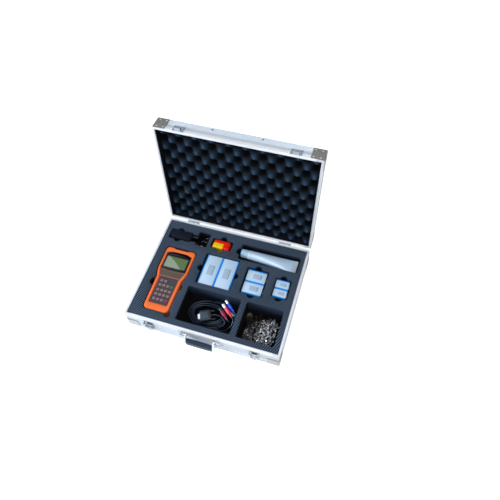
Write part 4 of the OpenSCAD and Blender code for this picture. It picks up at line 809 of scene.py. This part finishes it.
def half_of_case(body, high, guard_top, place, nodes):
    """Rim, joiners, guards and edging of one half, drawn with its rim up."""
    lid, tag, low = body == "lid", "lid" if body == "lid" else "base", 1.2 - high

    def put_at(x, y, z):
        return (x, y, LID_GAP - z) if lid else (x, y, z)

    def wrap(bm, profile, far_x, far_y, long, stuff):
        """Bends a profile round one corner."""
        rows = []
        for d, z in profile:
            q, c = max(GUARD_BEND - d, 0.0), max(GUARD_BEND, d)
            way = [(long, d), *((c - q * sin(a), c - q * cos(a)) for a in QUARTER), (d, long)]
            rows.append([put_at(WIDE - x if far_x else x, DEEP - y if far_y else y, z)
                         for x, y in way])
        skin(bm, list(zip(*rows)), stuff)

    def around(d, z):
        return [put_at(*p, z) for p in rect((d, WIDE - d), (d, DEEP - d))]

    bm = bmesh.new()
    for long, spot in SIDES:
        for profile, a, b in ((RIM, JOINER_LONG, long - JOINER_LONG), (FLANGE, 8, JOINER_LONG),
                              (FLANGE, long - JOINER_LONG, long - 8)):
            skin(bm, [[put_at(*spot(s, d, z)) for d, z in profile] for s in (a, b)])
    piece(tag + "_rim", bm, body, ["rim"], place, [nodes[0]], "rim_aluminium")
    bm = bmesh.new()
    for far_x, far_y in ((0, 0), (0, 1), (1, 0), (1, 1)):
        wrap(bm, JOINER, far_x, far_y, JOINER_LONG, 1)
        wrap(bm, guard_profile(-high, guard_top), far_x, far_y, GUARD_LONG, 0)
    # The base's guards take the paler copy: painted light
    piece(tag + "_guards", bm, body, ["guard" if lid else "guard_low", "joiner"], place,
          [nodes[1]], "guard_steel", 30)
    # Edging: an L with ribs along its outer leg
    bm = bmesh.new()
    rings = [around(d, low + z) for d, z in ((1.7, 19), (1.7, 0.6), (2.2, 0), (20.2, 0), (20.2, 1.1),
                                             (2.8, 1.1), (2.4, 1.5), (2.4, 19), (1.7, 19))]
    skin(bm, rings, ends=False)
    piece(tag + "_edge_strip", bm, body, ["edging"], place, [nodes[2]], "edge_aluminium")
    ribs = [around(1.62, low + 1.8 + k * 2.2) for k in range(8)]
    beads(tag + "_edge_ribs", ribs, 0.62, body, "edging", place)


half_of_case("case", BASE_H, -34, CASE, ("base_frame", "base_corners", "base_edging"))
half_of_case("lid", LID_H, -1.5, OPEN_LID, ("lid_frame", "lid_corners", "lid_edging"))


# Finishes for nodes whose shape is right, and how far their sharp edges are rounded, in mm
for stuff, soften, nodes in (
        ("panel", 0, ("base_panels", "lid_panels")),
        ("plated", 0.25, ("base_hinges", "lid_hinges", "lid_fittings", "latch_plates",
                          "handle_brackets")),
        ("plated", 0.4, ("latch_lever_left", "latch_lever_right")),
        ("wire", 0, ("latch_claw_left", "latch_claw_right")), ("chrome", 0.6, ("handle_arms",)),
        ("front", 0, ("meter_front_shell",)), ("shell", 0.4, ("meter_rear_shell",)),
        ("board", 0, ("display_board",)), ("cell", 0, ("battery_pack",)),
        ("socket", 0.2, ("meter_sockets",)), ("blue", 0.3, ("transducer_shells",)),
        ("resin", 0, ("transducer_wedges",)), ("brass", 0.2, ("transducer_sockets",))):
    for node in (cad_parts[name] for name in nodes):
        node.data.materials.clear()
        node.data.materials.append(STUFF[stuff])
        if soften:
            node.modifiers.new("weld", "WELD").merge_threshold = 1e-6
            flat = node.modifiers.new("flat", "DECIMATE")
            flat.decimate_type, flat.angle_limit = "DISSOLVE", radians(1)
            edge = node.modifiers.new("edge", "BEVEL")
            edge.width, edge.segments, edge.limit_method = soften / 1000, 2, "ANGLE"
            edge.angle_limit, edge.use_clamp_overlap = radians(40), True


def fasteners():
    """Rivets of the case, drawn once and set in groups by the way that they face."""
    front, back, left, right = (0, -1, 0), (0, 1, 0), (-1, 0, 0), (1, 0, 0)

    def grid(xs, ys, zs, way):
        return [((x, y, z), way) for x in xs for y in ys for z in zs]

    def about(middles, *offsets):
        return [x + d for x in middles for d in offsets]

    inset, base_z, lid_z = 0.45, (-41,), (LID_GAP + 8, LID_GAP + 34)
    across, along = ((12, 30, long - 12, long - 30) for long in (WIDE, DEEP))
    low = grid(across, (inset,), base_z, front) + grid(across, (DEEP - inset,), base_z, back)
    high = grid(across, (inset,), lid_z, front) + grid(across, (DEEP - inset,), lid_z[1:], back)
    for x, way in ((inset, left), (WIDE - inset, right)):
        low += grid((x,), along, base_z, way)
        high += grid((x,), along, lid_z, way)
    latches = about((LATCH_X, WIDE - LATCH_X), -12, 12)
    hinges = about((HINGE_X, WIDE - HINGE_X), -14, -5, 5, 14)
    base = grid(latches, (1.2,), (-15, -43), front)
    base += grid(about((HANDLE_X - 51, HANDLE_X + 51), -10, 10), (1.2,), (-33,), front)
    base += grid(hinges, (DEEP - 0.05,), (-8,), back)
    lid = grid(latches, (0.05,), (LID_GAP + 17,), front)
    lid += grid(hinges, (DEEP - 0.05,), (LID_GAP + 8,), back)
    edge = grid((155, 287.5), (0.3,), (LID_GAP + 32.8,), front)
    bm = bmesh.new()
    turned(bm, [(-0.3, 1), (0, 1), (0.1, 0.92), (0.2, 0.66), (0.22, 0.4), (0.14, 0.3), (0.14, 0)],
           (0, 0, 0), (0, 0, 1), 0, 12)
    shape = bpy.data.objects.new("rivet_head", mesh_of("rivet_head", bm))
    for name, spots, body, stuff, place, size in (
            ("base_rivets", base, "case", "rivet", CASE, 1.7),
            ("guard_rivets", low, "case", "zinc_head", CASE, 2),
            ("lid_guard_rivets", high, "lid", "zinc_head", OPEN_LID, 2),
            ("edging_rivets", edge, "lid", "rivet", OPEN_LID, 2.4),
            ("lid_rivets", lid, "lid", "rivet", OPEN_LID, 1.7)):
        studs(name, spots, shape, body, stuff, place, size)
    bpy.data.objects.remove(shape)


def catch_slots():
    """A dark half-round sheet behind each catch's shelf: painted shade."""
    bm = bmesh.new()
    for x in (LATCH_X, WIDE - LATCH_X):
        bow = [(x + 7.5 * cos(pi * k / 12), LID_GAP + 8 + 7 * sin(pi * k / 12)) for k in range(13)]
        skin(bm, [[(px, y, z) for px, z in bow] for y in (-0.25, 0.2)])
    piece("catch_slots", bm, "lid", ["hook"], OPEN_LID)


def foam_insert():
    """Die-cut foam: the pockets of the part, with the soft worn edges that cutting leaves."""
    bm = bmesh.new()
    bm.from_mesh(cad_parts["foam_insert"].data)
    bmesh.ops.transform(bm, matrix=CASE.inverted(), verts=bm.verts)
    bmesh.ops.remove_doubles(bm, verts=bm.verts, dist=1e-3)
    bmesh.ops.dissolve_limit(bm, angle_limit=radians(2), verts=bm.verts, edges=bm.edges)
    lips = [e for e in bm.edges if len(e.link_faces) == 2 and e.is_convex
            and e.calc_face_angle(0) > radians(50)]
    bmesh.ops.bevel(bm, geom=lips, offset=0.9, offset_type="OFFSET", segments=2, profile=0.5,
                    affect="EDGES", clamp_overlap=True)
    foam = piece("pocket_foam", bm, "case", ["foam"], CASE, ["foam_insert"], "insert_foam", 30)


def lid_foam():
    """Convoluted foam: rows of bumps and hollows, closed behind."""
    bm = bmesh.new()
    bm.from_mesh(plain_mesh(WAVES, bpy.data.meshes.new("none"), "crate", Width=433.4, Depth=328.4,
                            Across=9.5, Along=6.25, Mean=21.5, Rise=11.5))
    bmesh.ops.translate(bm, vec=(WIDE / 2, DEEP / 2, LID_GAP), verts=bm.verts)
    close_sheet(bm, LID_GAP + 38.1)
    # Its trimmed edge stands up against the rim's flange all round
    skin(bm, levels(rect((8.3, WIDE - 8.3), (8.3, DEEP - 8.3)),
                    [(d, LID_GAP + z) for d, z in ((0, 30), (0, 3.4), (0.4, 3), (1.1, 3), (1.6, 3.6),
                                                   (2, 30))]), 1, ends=False)
    # Its edge lining takes the near-black painted shade
    foam = piece("wave_foam", bm, "lid", ["crate", "crate_edge"], OPEN_LID, ["lid_foam"],
                 "lid_foam", 60)


def handle_grip():
    """A soft grip, fuller in the middle, with a finger side and end collars."""
    bm, rings, count, long, y, z = bmesh.new(), [], 28, 76.8, -11.5, -42.5
    for k in range(count + 1):
        t = k / count
        edge = min(t, 1 - t) * long
        small, bulge = 1 - 0.1 * max(0, 1 - edge / 3) ** 2, sin(pi * t)
        finger = 0.35 * (1 - cos(2 * pi * 4 * t)) / 2 if 4 < edge else 0
        rings.append([(HANDLE_X + long * (t - 0.5), y + p.x * small * (0.93 + 0.07 * bulge),
                       z + p.y * small * (0.95 + 0.05 * bulge) + (finger if p.y < 0 else 0))
                      for p in rounded(rect((-7, 7), (-12.5, 12.5)), 5, 5)])
    skin(bm, rings)
    piece("soft_grip", bm, "handle", ["grip"], CASE, ["handle_grip"], "grip_plastic", 50)
    outline = rounded(rect((-6.7, 6.7), (-12.2, 12.2)), 4.8, 5)
    beads("grip_ribs", [[(HANDLE_X + d, y + p.x * 0.985, z + p.y * 0.985) for p in outline]
                        for d in range(-30, 31, 5)], 0.28, "handle", "grip")


fasteners()
catch_slots()
foam_insert()
lid_foam()
handle_grip()


# The meter
def meter_outline(by=0.0, ears=False):
    """The meter seen from the front, moved out by a length; the ears stand at its top corners."""
    corners = [(-37, 0), (37, 0), (39.5, 104), (46, 130), (46, 207), (-46, 207), (-46, 130),
               (-39.5, 104)]
    foot, head = max(10 + by, 1), max(9 + by, 1)
    radii = [foot, foot, 14, 14, head, head, 14, 14]
    if ears:
        corners[5:5] = [(24, 207), (21.5, 204.5), (-21.5, 204.5), (-24, 207)]
        radii[5:5] = [1.4] * 4
    return rounded(grown(corners, by), radii)


def rays(outline, count, middle):
    """Where evenly spread rays from the middle meet an outline."""
    start, out = Vector(middle), []
    for angle in circle(count):
        way, best = Vector((cos(angle), sin(angle))), 0
        for k, b in enumerate(outline):
            a, b = Vector(outline[k - 1]) - start, Vector(b) - start
            side = b - a
            cross = way.x * side.y - way.y * side.x
            if abs(cross) < 1e-9:
                continue
            if -1e-6 <= (a.x * way.y - a.y * way.x) / cross <= 1 + 1e-6:
                best = max(best, (a.x * side.y - a.y * side.x) / cross)
        out.append(start + way * best)
    return out


def towards(near, far, inset, z, most=0.5):
    """A ring drawn from one outline towards another, by a length or at most a share of the way."""
    return [(*(p + (q - p) * min(inset / (q - p).length, most)), z) for p, q in zip(near, far)]


def meter_boot():
    """Soft rubber boot: rounded all round, with a rolled lip about the face."""
    corners = [(-27.9, 21), (27.9, 21), (28.3, 104), (38.4, 132), (38.4, 186.5), (20, 193),
               (-20, 193), (-38.4, 186.5), (-38.4, 132), (-28.3, 104)]
    outer, face, cave = (rays(outline, 300, (0, 105)) for outline in (
        meter_outline(0, True), rounded(corners, [3, 3, 6, 6, 3, 14, 14, 3, 6, 6]),
        meter_outline(-5.5)))
    thick, back_bend, front_bend = 32, 4, 4.2
    rows = [(back_bend * (1 - sin(a)), back_bend * (1 - cos(a)) - thick) for a in QUARTER]
    rows += [(0, -22), (0.5, -18), (0.5, -15), (0, -11)]
    rows += [(front_bend * (1 - cos(a)), -front_bend * (1 - sin(a)) - 0.15) for a in QUARTER]
    rings = [towards(outer, face, inset, z) for inset, z in rows]
    rings += [towards(face, outer, inset, z, 0.45) for inset, z in (
        (3.4, 0), (2.9, -0.15), (1.9, -0.8), (0.9, -1.5), (0.3, -1.85))]
    rings += [[(*p, z) for p in ring] for ring, z in ((face, -2.0), (cave, -2.0), (cave, -29.5))]
    bm = bmesh.new()
    skin(bm, rings)
    # Painted shade: faces on the lip's slope take the deeper orange
    for f in bm.faces:
        middle = f.calc_center_median()
        if -2.2 < middle.z < -0.4 and abs(middle.x) < 39 and 20 < middle.y < 194:
            f.material_index = 1
    piece("rubber_boot", bm, "case", ["boot", "boot_shade"], METER, ["meter_boot"], "boot_rubber", 50)


def window():
    """Gloss frame round the display, and the display under it."""
    outer = rounded([(-37.9, 133), (37.9, 133), (37.9, 186), (20, 192.6), (-20, 192.6),
                     (-37.9, 186)], [1.5, 1.5, 3, 14, 14, 3], 5)
    glass = rounded(rect((-33.5, 33.5), (139, 177.6)), 1.2, 5)
    o, g = (rays(outline, 200, (0, 158)) for outline in (outer, glass))
    bm = bmesh.new()
    skin(bm, [[(*(p + (q - p) * share), z) for p, q in zip(o, g)] for share, z in (
        (1, -1.95), (0, -1.95), (0, -1.25), (0.05, -1.0), (0.9, -1.0), (1, -1.4), (1, -1.95))],
        ends=False)
    slab(bm, grown(glass, -0.05), (-1.95, -1.6), 0, 2)
    block(bm, (-31.3, 31.3), (141, 175.6), (-1.6, -1.55), 0.8, 0, 1, 3)
    piece("display_window", bm, "case", ["bezel", "lcd", "lcd_rim"], METER, ["meter_window"],
          "window_plastic", 30)


def keys():
    """Eighteen soft caps, four in a row and two in the topmost, each riding on its own key."""
    for r, y in enumerate((93.1, 78.8, 63.1, 48.8, 33.8), 1):
        for c, x in enumerate((-17.9, -6, 5.9, 17.8)[:2 if r == 1 else 4], 1):
            name = f"key_{r}_{c}"
            top = {"key_2_4": "key_go", "key_5_4": "key_stop"}.get(name, "key")
            bm = bmesh.new()
            block(bm, (x - 5.3, x + 5.3), (y - 4.8, y + 4.8), (-5.1, -4.3), 1.4, 0.1, 1)
            outline = rounded(rect((x - 4.5, x + 4.5), (y - 4, y + 4)), 1.2, 5)
            skin(bm, levels(outline, ((0, -7), (0, -1.7), (0.15, -1.45), (0.45, -1.32))), 1)
            skin(bm, levels(outline, ((0.5, -1.5), (0.5, -1.26), (0.8, -1.2), (1.6, -1.24))), 0)
            piece("cap_" + name, bm, name, [top, "key_side"], METER, [name], "key_rubber", 40)


def wrist_strap():
    """A braided loop at the boot's corner: two rounds of cord and a whipped knot."""
    bm, line = bmesh.new(), []
    count, turns, radius, rise = 56, 1.75, 4.4, 2.3
    for t in (k / count for k in range(count + 1)):
        a = 2 * pi * turns * t
        line.append((36.6 + radius * cos(a), -2.8 + radius * sin(a), -3.3 + rise * t))
    hose(bm, line, 0.95)
    turned(bm, [(-2.2, 0.8), (-1.9, 1.3), (1.9, 1.3), (2.2, 0.8)], line[-1], (0.9, 0.3, -0.25), 0,
           12)
    piece("strap_loop", bm, "case", ["strap"], METER, ["wrist_strap"], "strap_cord", 60)


meter_boot()
window()
keys()
wrist_strap()


# What lies beside the meter
def transducer_lids():
    """Three pairs of lids: corner, length, width, whether upright, label and dark line (a painted
    shadow).
    """
    bm = bmesh.new()
    for x, y, long, wide, upright, label, line in (
            (161.5, 152.6, 97, 48.2, True, ((-17, 17), (-9.5, 9.5)), ((-16, 16), (-9.2, -8.0))),
            (292.5, 158, 56.3, 38.7, False, ((-9, 16), (-7.5, 7.5)), ((14.2, 15.6), (-6.5, 6.5))),
            (380, 170.5, 38.3, 27.7, False, ((-6, 11), (-5, 5)), ((9.6, 10.6), (-4.2, 4.2)))):
        plate = ((-long / 2, long / 2), (3 - wide / 2, wide / 2 - 3))
        for side in (wide / 2, wide * 1.5 + 0.3):
            # The third layer, the dark line, is a painted shadow beside each label
            for stuff, (box, radius, z, edge) in enumerate((
                    (plate, 0.8, (-8, -6), 0.45), (label, 0.8, (-6.1, -5.82), 0.08),
                    (line, 0.3, (-5.9, -5.76), 0.02))):
                slab(bm, [(x + side - p.y, y + long / 2 + p.x) if upright else
                          (x + long / 2 + p.x, y + side + p.y)
                          for p in rounded(rect(*box), radius, 3)], z, edge, stuff)
    piece("transducer_lids", bm, "case", ["cover", "label", "slot"], CASE, ["transducer_covers"],
          "probe_silver")


def couplant_tube():
    """The tube, flattened from its round shoulder to the crimp, and its ribbed cap."""
    bm, start, long, shoulder, flat = bmesh.new(), 26.3, 133, 14, 20.5

    def sections(*rows):
        return [[(x, a * cos(w), b * sin(w)) for w in circle(48)] for x, a, b in rows]

    skin(bm, sections((21.85, 6, 6), (21.85, 13.4, 13.4), (22.4, 14, 14), (25.6, 14, 14),
                      (26.2, 13.6, 13.6), (26.2, 6, 6)), 1)
    body = [(start + long * t, shoulder + (flat - shoulder) * t, shoulder + (0.8 - shoulder) * t * t)
            for t in (k / 24 for k in range(1, 25))]
    skin(bm, sections((26.0, 12.6, 12.6), (start + 0.2, 13.5, 13.5), (start + 1.2, 13.95, 13.95),
                      *body), 0)
    # Crimp: folded over twice, with two pressed lines
    skin(bm, [[(start + long + x, y, z) for y, z in ((-flat, -h), (flat, -h), (flat, h), (-flat, h))]
              for x, h in ((0, 0.8), (1.4, 0.75), (1.8, 0.55), (2.6, 0.55), (3, 0.75), (5, 0.75),
                           (5.4, 0.55), (6.2, 0.55), (6.6, 0.8), (11.6, 0.8), (12, 0.5))], 2)
    piece("couplant_tube", bm, "case", ["foil", "collar", "crimp"], TUBE, ["grease_tube"],
          "tube_foil", 45)
    bm = bmesh.new()
    turned(bm, [(0, 0), (0, 11), (0.4, 11.8), (1.4, 12.3), (20.6, 12.75), (21.3, 12.7), (21.5, 12),
                (21.5, 6.3)], (0, 0, 0), (1, 0, 0), 0, 48)
    piece("tube_cap", bm, "grease_cap", ["cap"], TUBE, ["grease_cap"], "cap_plastic", 40)
    beads("cap_ribs", [[(x, r * cos(a), r * sin(a)) for x, r in ((2.4, 12.35), (19.8, 12.72))]
                       for a in circle(40)], 0.27, "grease_cap", "cap", TUBE, closed=False)


def charger():
    """Two half shells with a mains pin each, and the sleeve where the lead comes out."""
    bm, long, high, pins_y = bmesh.new(), (25, 91), (-41.5, -1.5), 291.5
    block(bm, long, (277, 291.4), high, [12, 3, 0.5, 0.5], 0.45)
    block(bm, long, (291.6, 306), high, [0.5, 0.5, 3, 12], 0.45)
    # A panel on top, bare
    block(bm, (38, 80), (280.5, 302.5), (-1.6, -1.42), 2, 0.05)
    for s in (-9.3, 9.3):
        turned(bm, [(0, 3.2), (0.6, 3.2), (0.8, 2.4), (15, 2.4), (16.4, 1.9), (17, 1)],
               (long[1], pins_y + s, -14), (1, 0, 0), 1)
    turned(bm, [(-0.1, 3.4), (1, 3.3), (2.4, 2.6), (5.5, 2.1), (5.5, 1.85)],
           (long[1], pins_y, -30), (1, 0, 0))
    piece("charger_case", bm, "case", ["charger", "pin"], CASE, ["adapter_case"], "adapter_plastic")


def tape():
    """Drawn lying on its back, then stood up in its pocket."""
    bm = bmesh.new()
    block(bm, (0, 54), (0, 42), (0, 12.2), 9, 2.2, 1, 7)
    block(bm, (33.4, 54), (0, 42), (9, 27), [2.2, 9, 9, 2.2], 2.0, 1, 7)
    block(bm, (0, 33.7), (0, 42), (9, 26.6), [9, 1.2, 1.2, 9], 2.2, 0, 7)
    # Round boss on the yellow side, lock button on top, and the blade's hook
    turned(bm, [(0, 12), (0.2, 12), (0.4, 11.6), (0.4, 9), (0.2, 8.6), (0.2, 0)], (20, 21, 26.5),
           (0, 0, 1), 0, 36)
    before = set(bm.verts)
    block(bm, (14, 26), (-5, 5), (0, 1), 2, 0.3, 2)
    bmesh.ops.transform(bm, verts=[v for v in bm.verts if v not in before], matrix=(
        Matrix.Translation((0, 40.9, 13.5)) @ Matrix.Rotation(-pi / 2, 4, "X")))
    block(bm, (-2, -1), (26, 33), (4.5, 22.5), 0.4, 0.2, 2, 3)
    block(bm, (-1.6, 6), (29, 30), (7, 20), 0.3, 0.1, 2, 3)
    place = CASE @ Matrix.Translation((161, 305, -43.5)) @ Matrix.Rotation(pi / 2, 4, "X")
    piece("tape_measure_body", bm, "case", ["yellow", "red", "hook"], place, ["tape_measure"],
          "tape_plastic")


transducer_lids()
couplant_tube()
charger()
tape()


# The bag with the fixing chains. Each mound: its middle, its half widths and its height
MOUNDS = ((388, 68, 40, 50, 30), (405, 92, 25, 36, 26), (346, 66, 30, 48, 16))
HEAP_FLOOR = -59


def mound(x, y):
    """Height of the heap of links over the compartment's floor."""
    return max(high * max(0, 1 - ((x - cx) / hx) ** 2 - ((y - cy) / hy) ** 2) ** 0.6
               for cx, cy, hx, hy, high in MOUNDS)


def chain_heap():
    """Strands of chain over and inside the heap, with a few loose curls on top."""
    dice, lines, heap_x, heap_y, wall_x = random.Random(11), [], 388, 74, 419.5

    def on_heap(x, y, level=1.0):
        return (x, y, HEAP_FLOOR + max(3, (mound(x, y) - 2) * level))

    for n in range(21):
        top = n < 12
        across = n / 5.5 - 1 if top else (n - 16) / 4.6
        phase, half = dice.uniform(0, 2 * pi), 44 * max(0.4, 1 - across ** 2) ** 0.5
        level = dice.uniform(0.84, 1.0) if top else dice.uniform(0.4, 0.6)
        lines.append([on_heap(min(heap_x + 27 * across + 5 * t * (1 + across) / 2
                                  + 3.5 * sin(3.2 * t + phase), wall_x), heap_y + half * t, level)
                      for t in (k / 12 - 1 for k in range(25))])
    for n in range(4):
        x, y, heading = dice.uniform(372, 408), dice.uniform(45, 100), dice.uniform(0, 2 * pi)
        lines.append([])
        for k in range(22):
            heading += 0.3 + dice.uniform(-0.3, 0.3)
            x, y = x + 2.6 * cos(heading), y + 2.6 * sin(heading)
            lines[-1].append(on_heap(x, y))
    # One welded link of round wire, 8 mm long
    bm = bmesh.new()
    hose(bm, [(1.6 * copysign(1, cos(a)) * (abs(cos(a)) > 0.1) + 1.7 * cos(a), 1.75 * sin(a), 0)
              for a in circle(12)], 0.62, 5, closed=True)
    bmesh.ops.remove_doubles(bm, verts=bm.verts, dist=1e-4)
    link = bpy.data.objects.new("link", mesh_of("link", bm))
    mesh = plain_mesh(CHAIN, lines_mesh([smooth(line, 2) for line in lines]), "link", Shape=link,
                      Pitch=7.4, Size=1.5)
    bpy.data.objects.remove(link)
    settle("fixing_chains", mesh, "case", ["link"], CASE, ["chain_bag"], "chain_steel", 60)


def clear_bag():
    """The bag: one thin closed skin, slack and folded beside the links, tight over them."""
    bm, count, x0, x1, y0, y1 = bmesh.new(), 96, 322, 423, 27, 129.5

    def skin_at(i, j):
        x, y = x0 + (x1 - x0) * i / count, y0 + (y1 - y0) * j / count
        edge = min(1.0, min(i, count - i) / 6, min(j, count - j) / 6)
        slack = max(0.0, min(1.0, (372 - x) / 26))
        ridge = abs(noise.noise(Vector((x / 16, y / 30, 0.3)) + Vector((0, x / 60, 0))))
        fine = noise.noise(Vector((x / 5, y / 6, 4)))
        fold = slack * (9 * (0.5 - ridge) + 1.6 * fine) + (1 - slack) * 0.9 * fine
        high = mound(x, y)
        high += 0.8 + fold * (1 if high > 1 else 0.5)
        return bm.verts.new((x, y, HEAP_FLOOR - 0.3 + max(0.5, high * edge)))

    rows = [[skin_at(i, j) for j in range(count + 1)] for i in range(count + 1)]
    for a, b in zip(rows, rows[1:]):
        for k in range(count):
            bm.faces.new((a[k], b[k], b[k + 1], a[k + 1]))
    close_sheet(bm, HEAP_FLOOR - 0.6)
    bag = piece("clear_bag", bm, "case", ["film"], CASE, ["chain_bag"], None, 30)


chain_heap()
clear_bag()


# Floor, world and lamps
def studio():
    mesh = bpy.data.meshes.new("floor")
    mesh.from_pydata([(x, y, -0.0004) for x, y in rect((-4, 4), (-4, 4))], [], [(0, 1, 2, 3)])
    paper = bpy.data.materials.new("white_paper")
    world = bpy.data.worlds.new("studio")
    bpy.context.scene.world = world
    paper.use_nodes = world.use_nodes = True
    tree = paper.node_tree
    tree.nodes.clear()
    light = put(tree, "ShaderNodeLightPath").node.outputs
    # Lit for the camera, so that the page stays white, and dimly in metal's mirror
    glow = maths(tree, "MULTIPLY_ADD", light["Is Camera Ray"], 0.75,
                 maths(tree, "MULTIPLY", light["Is Glossy Ray"], 0.4))
    put(tree, "ShaderNodeOutputMaterial", {"Surface": put(tree, "ShaderNodeAddShader", {
        0: put(tree, "ShaderNodeBsdfDiffuse", {"Color": linear("#F4F4F4")}),
        1: put(tree, "ShaderNodeEmission", {"Color": WHITE, "Strength": glow})})})
    mesh.materials.append(paper)
    shown("floor", mesh)

    tree = world.node_tree
    tree.nodes.clear()
    light = put(tree, "ShaderNodeLightPath").node.outputs
    # White where the camera looks, soft where metal mirrors it, low as light in the pockets
    way = axes(tree, put(tree, "ShaderNodeTexCoord", out="Generated"))
    mirrored = span(tree, way["Z"], 0.05, 0.85, 0.12, 1.1)
    power = maths(tree, "MAXIMUM", span(tree, light["Is Glossy Ray"], 0, 1, 0.22, mirrored),
                  light["Is Camera Ray"])
    hue = mix(tree, light["Is Camera Ray"], linear("#F2F7FF"), WHITE)
    put(tree, "ShaderNodeOutputWorld", {"Surface": put(tree, "ShaderNodeBackground", {
        "Color": hue, "Strength": power})})

    # A window on the left, soft lights overhead and on the right, and the round patch of sky
    # that the display mirrors past the lid's edge
    for name, shape, spot, size, watts, tint in (
            ("left_window", "SQUARE", (-1.75, -0.85, 0.75), 0.5, 34, "#E6F0FF"),
            ("top_lamp", "SQUARE", (0.3, -0.75, 2.1), 1.2, 22, "#FFFAF4"),
            ("sky_patch", "DISK", (-0.98919, 0.78305, 1.94921), 0.4, 1.7, "#F0F6FF"),
            ("side_fill", "SQUARE", (2.0, 0.2, 1.4), 1.4, 3, "#EEF5FF")):
        lamp = bpy.data.lights.new(name, "AREA")
        lamp.shape, lamp.size, lamp.energy, lamp.color = shape, size, watts, linear(tint)[:3]
        holder = shown(name, lamp)
        holder.location = spot
        aim = Vector(spot) - Vector((-0.14, 0, 0.07) if shape == "DISK" else (0, 0, 0.1))
        holder.rotation_euler = aim.to_track_quat("Z", "Y").to_euler()
    bpy.context.scene.view_settings.view_transform = "Standard"


studio()
